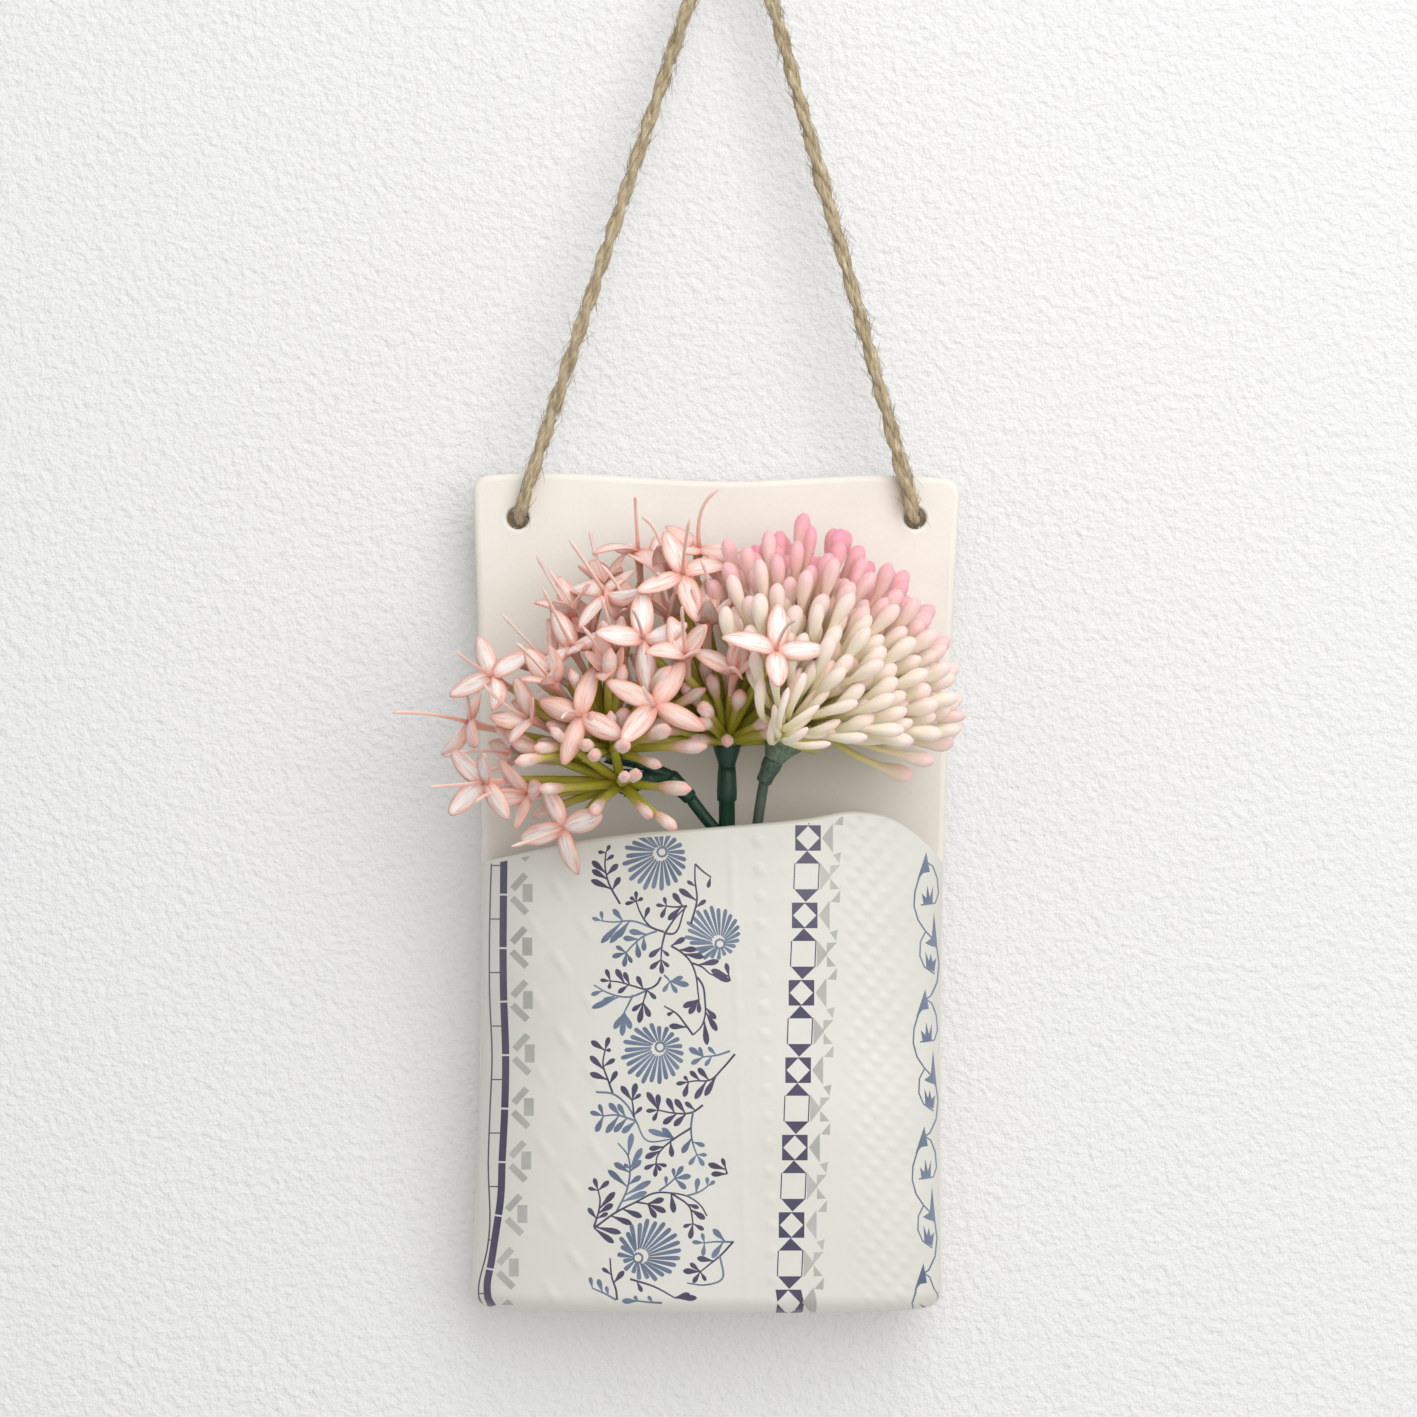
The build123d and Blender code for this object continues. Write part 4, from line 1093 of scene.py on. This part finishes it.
# Turned profiles: shares of the length, each with its radius
SLEEVE_LENGTH = 7.0
SLEEVE = 1 - SLEEVE_LENGTH / np.linalg.norm(UPPER_SOCKET - SPRAY_FOOT)
STEM_STATIONS = [
    (0, 1.4), (0.004, 1.68), (0.3, 1.72), (0.6, 1.66), (0.85, 1.64), (SLEEVE, 1.6),
    (SLEEVE + 0.004, 1.95), (SLEEVE + 0.02, 2.0), (0.985, 1.85), (1, 1.7),
]
ELBOW_STATIONS = [(0, 1.25), (0.06, 1.55), (0.5, 1.62), (0.9, 1.75), (1, 1.5)]
TWIG_STATIONS = [(0, 0.9), (0.1, 1.25), (0.7, 1.15), (0.76, 1.45), (1, 1.5)]
CUP_STATIONS = [
    (0, 1.3), (0.06, 1.62), (0.3, 1.85), (0.55, 2.3), (0.8, 2.65), (0.95, 2.7), (1.0, 2.35), (0.97, 1.9),
]
SHEATH_STATIONS = [(0, 1.2), (0.05, 1.55), (0.3, 1.6), (0.55, 1.75), (0.62, 1.95), (0.9, 2.0), (1, 1.9)]
CALYX_STATIONS = [
    (0, 1.6), (0.08, 2.0), (0.35, 2.6), (0.6, 3.4), (0.85, 4.3), (0.97, 4.6), (1.0, 4.2), (0.96, 3.4),
]
HUB_STATIONS = [(0, 1.6), (0.3, 2.2), (0.6, 2.0), (0.85, 1.3), (1, 0.5)]
CUP_TEETH, CUP_LEAN, SEPAL_LEAN = 5, 0.2, 0.75
SEPAL_TONES = 0.3 + 0.06 * np.arange(8)


def sepals(shape, base, axis, out, lean, facing, size, bend, tones):
    """A ring of short petals about an axis, one for each tone. Facing turns their upper side out or in."""
    for k, tone in enumerate(tones):
        way = turned(axis, k * 2 * math.pi / len(tones))
        upright = facing * unit(way - lean * axis)
        shape.petal(base + way * out, unit(axis + lean * way), upright, *size, *bend, tone)


stems = Shape()
stems.rod(SPRAY_FOOT, UPPER_SOCKET, STEM_STATIONS, 18)
branch = smooth_line([FORK + LIFT * 1.5, FORK + (BRANCH_BEND - FORK) * 0.55, BRANCH_BEND, BRANCH_NODE], 12)
stems.tube(branch, np.linspace(1.2, 1.15, len(branch)), 14, tone=0.3)
stems.rod(BRANCH_BEND + (FORK - BRANCH_BEND) * 0.22, BRANCH_NODE, ELBOW_STATIONS, tone=0.5)
for tone, socket in ((0.6, LEFT_SOCKET), (0.8, LOWER_SOCKET)):
    stems.rod(BRANCH_NODE - unit(socket - BRANCH_NODE) * 0.8, socket, TWIG_STATIONS, tone=tone)
stems.make("spray_stalk", STEM_GREEN, "bouquet", "stem_green", ["spray_stem"])

for k, (name, (base, axis)) in enumerate(SOCKETS.items()):
    cup, tone = Shape(), 0.3 * k
    cup.rod(base - axis * 0.4, base + axis * SOCKET_LENGTH, CUP_STATIONS, 16, tone)
    teeth = [tone] * CUP_TEETH
    sepals(cup, base + axis * 3.1, axis, 2.1, CUP_LEAN, 1, (2.0, 2.3, 0.6), (0.05, 0.1), teeth)
    cup.make("cup_" + name, STEM_GREEN, "bouquet", "stem_green", ["socket_" + name])

stalk, sheath, calyx = Shape(), Shape(), Shape()
straight = GLOBE_FOOT + (GLOBE_BEND - GLOBE_FOOT) * 0.9
line = smooth_line([GLOBE_FOOT, straight, GLOBE_BEND, GLOBE_NECK + HEAD_AXIS * 0.6], 16)
stalk.tube(line, np.linspace(1.14, 1.04, len(line)), 14)
stalk.make("globe_stalk", STEM_GREY, "bouquet", "stem_grey", ["globe_stem"])
sheath.rod(GLOBE_NECK, COLLAR_TOP, SHEATH_STATIONS, 16, 0.2)
sheath.make("globe_sheath", STEM_GREY, "bouquet", "stem_grey", ["globe_collar"])
calyx.rod(COLLAR_TOP - HEAD_AXIS * 0.3, CALYX_TOP, CALYX_STATIONS, 20, 0.5)
sepal_base, sepal_size, sepal_bend = COLLAR_TOP + HEAD_AXIS * 2.6, (4.4, 3.6, 0.5), (-0.06, 0.2)
sepals(calyx, sepal_base, HEAD_AXIS, 2.9, SEPAL_LEAN, -1, sepal_size, sepal_bend, SEPAL_TONES)
calyx.make("globe_cup", CALYX, "bouquet", "stem_grey", ["globe_calyx"])


# Star florets, their spokes and the closed buds

# Each open star's centre, the way it faces, and how far it is turned about that in degrees
FLORETS = {
    "upper": [
        (at(-14.1, 37, 33.3), toward(-0.10, 0.90, 0.40), 5),
        (at(-11.9, 41, 20.6), toward(-0.10, 0.98, 0.10), 60),
        (at(-6.5, 32, 45.8), toward(0.05, 0.80, 0.60), 25),
        (at(-3.4, 20, 51.2), toward(0.05, 0.40, 0.90), 45),
        (at(11.1, 50, 30.9), toward(0.20, 0.85, 0.50), 0),
    ],
    "left": [
        (at(-43.5, 27.5, 26.2), toward(-0.45, 0.80, 0.30), 35),
        (at(-27.8, 31, 31.9), toward(-0.35, 0.60, 0.70), 20),
        (at(-26.1, 37, 18.5), toward(-0.20, 0.95, 0.10), 70),
        (at(-48.4, 20, 17.2), toward(-0.90, 0.35, 0.20), 55),
        (at(-21.6, 27, 42.2), toward(-0.45, 0.55, 0.70), 60),
        (at(-15.4, 15, 51.0), toward(-0.05, 0.35, 0.93), 30),
    ],
    "lower": [
        (at(-44.9, 31, 5.7), toward(-0.60, 0.75, -0.05), 45),
        (at(-29.8, 31, -3.1), toward(-0.50, 0.80, -0.20), 10),
    ],
}
# Half-open stars that fill the space between the open ones: centre and the way each faces
HALF_OPEN = {
    "upper": [
        (at(-9.5, 25, 38.0), toward(-0.20, 0.55, 0.80)),
        (at(-16.5, 24, 37.5), toward(-0.35, 0.50, 0.80)),
        (at(-1.5, 30, 37.0), toward(0.00, 0.60, 0.80)),
        (at(-10.0, 18, 46.5), toward(-0.20, 0.30, 0.92)),
        (at(3.5, 38, 27.0), toward(0.10, 0.75, 0.65)),
        (at(-6.0, 38, 30.0), toward(-0.05, 0.80, 0.60)),
        (at(-18.5, 30, 30.0), toward(-0.25, 0.60, 0.75)),
    ],
    "left": [
        (at(-24.5, 20, 34.5), toward(-0.50, 0.35, 0.80)),
        (at(-33.0, 22, 29.0), toward(-0.60, 0.40, 0.65)),
        (at(-36.0, 29, 18.0), toward(-0.60, 0.70, 0.35)),
        (at(-20.5, 33, 27.0), toward(-0.30, 0.75, 0.60)),
        (at(-38.5, 21, 10.5), toward(-0.90, 0.35, 0.15)),
        (at(-28.0, 22, 38.0), toward(-0.50, 0.35, 0.80)),
        (at(-31.5, 32, 25.0), toward(-0.45, 0.70, 0.55)),
        (at(-21.0, 17, 43.0), toward(-0.35, 0.25, 0.90)),
    ],
    "lower": [
        (at(-36.5, 27, 3.5), toward(-0.75, 0.60, 0.05)),
    ],
}
# The way each umbel's buds point, how many places they spread over, and the places with a full-length bud
BUDS = {
    "upper": (toward(0.05, 0.60, 0.80), 30, (0, 1, 2, 5, 9, 12, 13, 16, 19, 24, 26, 27, 29)),
    "left": (toward(-0.55, 0.60, 0.55), 22, (5, 6, 8, 12, 17, 20)),
    "lower": (toward(-0.60, 0.75, -0.05), 12, (4, 5, 8, 9)),
}
BUD_HANG = {"upper": 2.0, "left": 4.0, "lower": 9.0}
EXTRA_BUDS = {"upper": 60, "left": 48, "lower": 24}
PETAL_LENGTH, PETAL_WIDTH, PETAL_THICKNESS, PETAL_RISE = 9.6, 4.3, 0.8, math.radians(14)
HALF_OPEN_RISE, HALF_OPEN_LENGTH = math.radians(56), 8.2
TUBE_LENGTH, TUBE_RADII = 7.0, [0.55, 0.68, 0.72, 0.72, 0.75, 0.82, 0.95, 1.05, 0.85]
PISTIL_LENGTH, PISTIL_RADII = 14.0, [0.46, 0.42, 0.38, 0.36, 0.34, 0.33, 0.34, 0.40, 0.16]
BUD_LENGTH, BUD_RADIUS, BUD_SPREAD, EXTRA_SPREAD = 6.0, 1.3, math.radians(78), math.radians(96)
BUD_STEPS, BUD_TIP, BUD_ROOM, PLATE_ROOM = 16, 0.3, 1.3, 3.0
BUD_REACH, BUD_REACH_SPREAD = 12.0, 7.0
EXTRA_REACH, EXTRA_SIZE = (8.0, 19.0), (0.8, 1.15)
SPOKE_ROOT, SPOKE_END, SPOKE_TINT, SPOKE_STEPS = 1.05, 0.75, 0.66, 12
SPOKE_ARCH, BUD_ARCH = 1.6, 1.2
STAR_PETALS = 4
spray_points = []


def star(umbel, bloom, name, centre, facing, spin, petal_rise, petal_length):
    """A floret with its petals on a tube, its pistil, and the spoke that carries it."""
    hub, axis = HUBS[name], SOCKETS[name][1]
    base = centre - facing * TUBE_LENGTH
    tone = draw.uniform(0, 1)
    middle = (hub + base) / 2 + axis * SPOKE_ARCH + draw.normal(0, 0.5, 3)
    spoke = bezier(hub, middle, base, SPOKE_STEPS)
    radii, tints = np.linspace((SPOKE_ROOT, 0.02), (SPOKE_END, SPOKE_TINT), SPOKE_STEPS).T
    umbel.tube(spoke, radii, 8, tints, tone)
    steps = len(TUBE_RADII)
    tube = bezier(base - facing * 0.4, base + facing * 3.4 + draw.normal(0, 0.25, 3), centre, steps)
    bloom.tube(tube, TUBE_RADII, 10, np.linspace(0.5, 0.1, steps), tone * 0.5)
    for k in range(STAR_PETALS):
        outward = turned(facing, k * 2 * math.pi / STAR_PETALS + math.radians(spin) + draw.normal(0, 0.09))
        rise = petal_rise + draw.normal(0, 0.20)
        lengthwise = outward * math.cos(rise) + facing * math.sin(rise)
        upright = facing * math.cos(rise) - outward * math.sin(rise)
        length, width = petal_length * draw.uniform(0.95, 1.06), PETAL_WIDTH * draw.uniform(0.92, 1.06)
        curl, cup = draw.uniform(-0.42, 0.16), draw.uniform(-0.85, 0.35)
        petal_tone = min(max(tone + draw.normal(0, 0.15), 0), 1)
        root = centre - facing * 0.3
        bloom.petal(root, lengthwise, upright, length, width, PETAL_THICKNESS, curl, cup, petal_tone)
    sway = draw.normal(0, 1.2, 3)
    bend = centre + facing * PISTIL_LENGTH * 0.6 - sway * 0.5
    steps = len(PISTIL_RADII)
    pistil = bezier(centre, bend, centre + facing * PISTIL_LENGTH + sway, steps)
    bloom.tube(pistil, PISTIL_RADII, 7, np.linspace(0.1, 0.6, steps), 0.5 + tone * 0.4)
    spray_points.extend([*spoke[::2], *tube, *pistil[2::2]])


def bud_way(name, k, places, spread):
    """The way of the k-th of some places that spread evenly about an umbel's aim."""
    aim = BUDS[name][0]
    tilt = spread * math.sqrt((k + 0.5) / places)
    return aim * math.cos(tilt) + math.sin(tilt) * turned(aim, k * GOLDEN)


def bud(umbel, name, way, reach, size):
    """A spoke with a closed bud, or nothing where it would meet another piece or hang too low."""
    hub, axis = HUBS[name], SOCKETS[name][1]
    length = reach + BUD_LENGTH * size
    path = bezier(hub, hub + way * (0.5 * reach) + axis * BUD_ARCH, hub + way * length, BUD_STEPS)
    in_plate, too_low = PLATE_FRONT - path[-1, 1] < PLATE_ROOM, path[-1, 2] < hub[2] - BUD_HANG[name]
    room = np.linalg.norm(path[9:, None] - np.array(spray_points)[None], axis=2).min()
    if in_plate or too_low or room < BUD_ROOM:
        return
    shares, start = np.linspace(0, 1, BUD_STEPS), reach / length
    swell = np.clip((shares - start) / (1 - start), 0, 1)
    belly = SPOKE_END + (BUD_RADIUS * size - SPOKE_END) * np.sin(math.pi * 0.86 * swell) ** 0.9
    on_spoke = shares < start
    radii = np.where(on_spoke, SPOKE_ROOT + (SPOKE_END - SPOKE_ROOT) * shares / start, belly)
    radii[-1] = BUD_TIP
    tints = np.where(on_spoke, SPOKE_TINT * shares / start, SPOKE_TINT + (1 - SPOKE_TINT) * swell)
    umbel.tube(path, radii, 10, tints, draw.uniform(0, 1), 4, 0.06)
    spray_points.extend(path[7:])


for name, hub in HUBS.items():
    axis = SOCKETS[name][1]
    umbel, bloom = Shape(), Shape()
    umbel.rod(hub - axis * 2.0, hub + axis * 1.8, HUB_STATIONS, 12)
    for centre, facing, spin in FLORETS[name]:
        star(umbel, bloom, name, centre, facing, spin, PETAL_RISE, PETAL_LENGTH)
    for centre, facing in HALF_OPEN[name]:
        star(umbel, bloom, name, centre, facing, draw.uniform(0, 90), HALF_OPEN_RISE, HALF_OPEN_LENGTH)
    _, places, kept = BUDS[name]
    for k in kept:
        reach = BUD_REACH + BUD_REACH_SPREAD * ((k * GOLDEN) % 1.0)
        bud(umbel, name, bud_way(name, k, places, BUD_SPREAD), reach, 1.0)
    for k in range(EXTRA_BUDS[name]):
        way = bud_way(name, k, EXTRA_BUDS[name], EXTRA_SPREAD)
        bud(umbel, name, way, draw.uniform(*EXTRA_REACH), draw.uniform(*EXTRA_SIZE))
    umbel.make("spokes_" + name, UMBEL, "bouquet", "spoke_green", ["umbel_" + name])
    bloom.make("stars_" + name, PETAL, "bouquet", "petal_pink", ["florets_" + name])


# Globe flower's head: club petals over a round core

GLOBE_HEIGHT, GLOBE_REACH, GLOBE_LOWEST = 40.0, 34.5, -0.16
OUTER_CLUBS, REACH_SPREAD = 380, 0.20
INNER_CLUBS, INNER_SHARE, INNER_TURN, INNER_BACK = 240, 0.72, 1.0, 0.45
DROOPING_TIPS = [(21.5, 8.0, -11.0), (24.0, 15.0, -8.0), (29.2, 10.0, -4.7), (33.0, 5.0, 0.5)]
# Petals that would stand in the spray or in the plate are left out
GLOBE_SIDE, GLOBE_SIDE_SLANT, GLOBE_PLATE_ROOM, SPRAY_ROOM = 7.5, 0.37, 4.3, 1.6
CORE_RADIUS, CORE_LOWEST, CORE_STEPS, CORE_TINT = 8.4, -0.55, 12, 0.1
CLUB_ROOT, CLUB_RADIUS, CLUB_STALK, CLUB_TIP, CLUB_ROUND = 5.5, 1.75, 0.6, 9.0, 2.4
CLUB_STATIONS = np.array([0, 0.2, 0.4, 0.55, 0.66, 0.74, 0.80, 0.85, 0.89, 0.92, 0.95, 0.975, 0.99, 1.0])
# The more a petal faces the front, the more it bends back in its middle and over at its tip, in a fan
BEND_FROM, BEND_OVER, BEND_BACK, BEND_ON, FAN_LEAN = 0.10, 0.55, 6.5, 3.5, (4.0, 0.0, 1.0)
# Petals are thinner near the cup's middle, and pinker the higher they point
SLENDER_WITHIN, SLENDEREST = 16.0, 0.55
PINK_WAY, PINK_FROM, PINK_OVER, PALE_PINK = np.array([0.15, 0.25, 1.0]), 0.35, 0.55, 0.25
spray_points = np.array(spray_points)


def head_way(k, count, turn=0.0):
    """The k-th of some ways that spread evenly over the head, and how far the head reaches there."""
    up = 1.0 - (1.0 - GLOBE_LOWEST) * (k + 0.5) / count
    level = math.sqrt(1.0 - up * up)
    angle = k * GOLDEN + turn
    reach = 1.0 / math.sqrt((level / GLOBE_REACH) ** 2 + (up / GLOBE_HEIGHT) ** 2)
    return np.array([level * math.cos(angle), level * math.sin(angle), up]), reach


def beside_spray(tip):
    """Whether a tip stays on the head's own side of the spray."""
    return tip[0] >= -GLOBE_SIDE - GLOBE_SIDE_SLANT * tip[2]


def club(way, reach, pink):
    """A petal that is thin at the core and swollen at its tip. In front it bends over, away from the cup."""
    tip = GLOBE_HUB + way * reach
    level = (tip - CALYX_TOP) * FACE_ON
    fan = unit(level + FAN_LEAN)
    bent = np.clip((-way[1] - BEND_FROM) / BEND_OVER, 0, 1)
    sag = draw.normal(0, 1.3, 3) - np.array([0, 0, 1.4 * math.hypot(way[0], way[1])])
    middle = GLOBE_HUB + way * reach * (0.6 + 0.38 * bent) + sag - fan * BEND_BACK * bent
    path = bezier(GLOBE_HUB + way * CLUB_ROOT, middle, tip + fan * BEND_ON * bent, 60)
    run = along_path(path)
    path = points_at(CLUB_STATIONS * run[-1], run, path)
    if np.linalg.norm(path[5:, None] - spray_points[None], axis=2).min() < SPRAY_ROOM:
        return
    left = run[-1] * (1 - CLUB_STATIONS)
    slender = np.clip(np.linalg.norm(level) / SLENDER_WITHIN, SLENDEREST, 1.0)
    belly = CLUB_RADIUS * slender * draw.uniform(0.84, 1.06)
    rounded = belly * np.sqrt(np.maximum(1 - (1 - left / CLUB_ROUND) ** 2, 0.06))
    grow = np.clip((CLUB_TIP - left) / (CLUB_TIP - CLUB_ROUND), 0, 1)
    stalk_radius = CLUB_STALK + 0.12 * CLUB_STATIONS
    swollen = stalk_radius + (belly - stalk_radius) * grow * grow * (3 - 2 * grow)
    radii = np.where(left < CLUB_ROUND, rounded, swollen)
    depth, squeeze, turn = 0.05 * draw.uniform(0, 1), draw.uniform(0.84, 1.0), draw.uniform(0, 1.5)
    head.tube(path, radii, 12, CLUB_STATIONS, pink, 3, depth, squeeze, turn)


head = Shape()
core = np.linspace(CORE_LOWEST, 1.0, CORE_STEPS)
core_radii = np.maximum(CORE_RADIUS * np.sqrt(np.maximum(1 - core**2, 0)), 0.3)
core_path, core_tints = GLOBE_HUB + CORE_RADIUS * core[:, None] * HEAD_AXIS, np.full(CORE_STEPS, CORE_TINT)
head.tube(core_path, core_radii, 20, core_tints, 0.3)
for k in range(OUTER_CLUBS):
    way, reach = head_way(k, OUTER_CLUBS)
    reach *= 1.0 - REACH_SPREAD * ((k * GOLDEN) % 1.0)
    if beside_spray(way * reach) and PLATE_FRONT - GLOBE_HUB[1] - way[1] * reach >= GLOBE_PLATE_ROOM:
        pink = np.clip((way @ PINK_WAY - PINK_FROM) / PINK_OVER, 0, 1)
        club(way, reach, pink * draw.uniform(0.7, 1.0))
for k in range(INNER_CLUBS):
    way, reach = head_way(k, INNER_CLUBS, INNER_TURN)
    reach *= INNER_SHARE * draw.uniform(0.94, 1.06)
    if way[1] < INNER_BACK and beside_spray(way * reach):
        club(way, reach, PALE_PINK * draw.uniform(0, 1))
for tip in DROOPING_TIPS:
    club(toward(*tip), np.linalg.norm(tip), PALE_PINK)
head.make("globe_bloom", GLOBE, "bouquet", "globe_petal", ["globe_head"])


# The solids that stay

for node, material in (("back_plate", CERAMIC), ("spray_wire", WIRE), ("globe_wire", WIRE)):
    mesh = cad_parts[node].data
    mesh.materials.clear()
    mesh.materials.append(material)


# Stage: a plain pale wall close behind, a floor far below and soft light from the upper right

WALL_Y, WALL_HALF, WALL_TOP = 8.6, 1500, 1500
FLOOR_Z, FLOOR_HALF = -700, 4000
ROOM_LIGHT = 0.66
# In metres: the point that the lamps shine on
LAMP_AIM = (0, 0, -0.18)


def stage_plane(name, corners, material):
    mesh = bpy.data.meshes.new(name)
    mesh.from_pydata([tuple(v * MM for v in corner) for corner in corners], [], [(0, 1, 2, 3)])
    mesh.materials.append(material)
    new_object(name, mesh)


def wall_look():
    """Plaster that is seen from the front, and that lets the room's light reach the part from behind."""
    look = Look("wall_plaster", 0.9)
    rough = look.noise(look.place(), 560.0, 4.0, 0.62)
    look.done((0.86, 0.86, 0.855, 1.0), None, look.bump(rough, 0.6, 0.002))
    rays = look.node("ShaderNodeLightPath").outputs
    mirrored = look.math("MAXIMUM", rays["Is Glossy Ray"], rays["Is Transmission Ray"])
    seen = look.math("MAXIMUM", rays["Is Camera Ray"], mirrored)
    front = look.math("SUBTRACT", 1.0, look.node("ShaderNodeNewGeometry").outputs["Backfacing"])
    clear = look.node("ShaderNodeBsdfTransparent").outputs[0]
    shaders = {0: look.times(seen, front), 1: clear, 2: look.shader.outputs[0]}
    blend = look.node("ShaderNodeMixShader", shaders).outputs[0]
    look.feed(look.tree.nodes["Material Output"], {"Surface": blend})
    return look.material


def floor_look():
    look = Look("floor_pale", 0.8)
    patches = look.noise(look.place(), 6.0)
    return look.done(look.ramp(patches, (0.3, (0.58, 0.575, 0.57)), (0.7, (0.62, 0.615, 0.61))))


def lamp(name, place, size, power):
    """A square lamp, with its place and size in metres and its power in watts."""
    data = bpy.data.lights.new(name, "AREA")
    data.energy, data.size = power, size
    made = new_object(name, data)
    made.location = place
    made.rotation_euler = (Vector(LAMP_AIM) - Vector(place)).to_track_quat("-Z", "Y").to_euler()


low, high = -WALL_HALF, WALL_HALF
wall = [(low, WALL_Y, FLOOR_Z), (high, WALL_Y, FLOOR_Z), (high, WALL_Y, WALL_TOP), (low, WALL_Y, WALL_TOP)]
floor = [(x * FLOOR_HALF, y * FLOOR_HALF, FLOOR_Z) for x, y in ((-1, -1), (1, -1), (1, 1), (-1, 1))]
stage_plane("wall", wall, wall_look())
stage_plane("floor", floor, floor_look())
world = bpy.data.worlds.new("room")
bpy.context.scene.world = world
world.use_nodes = True
background = world.node_tree.nodes["Background"].inputs
background["Color"].default_value = (1.0, 1.0, 1.0, 1.0)
background["Strength"].default_value = ROOM_LIGHT
lamp("key", (0.40, -0.95, 0.10), 1.0, 6.0)
lamp("top", (0.20, -0.55, 0.60), 0.6, 2.1)

bpy.context.scene.view_settings.view_transform = "Standard"
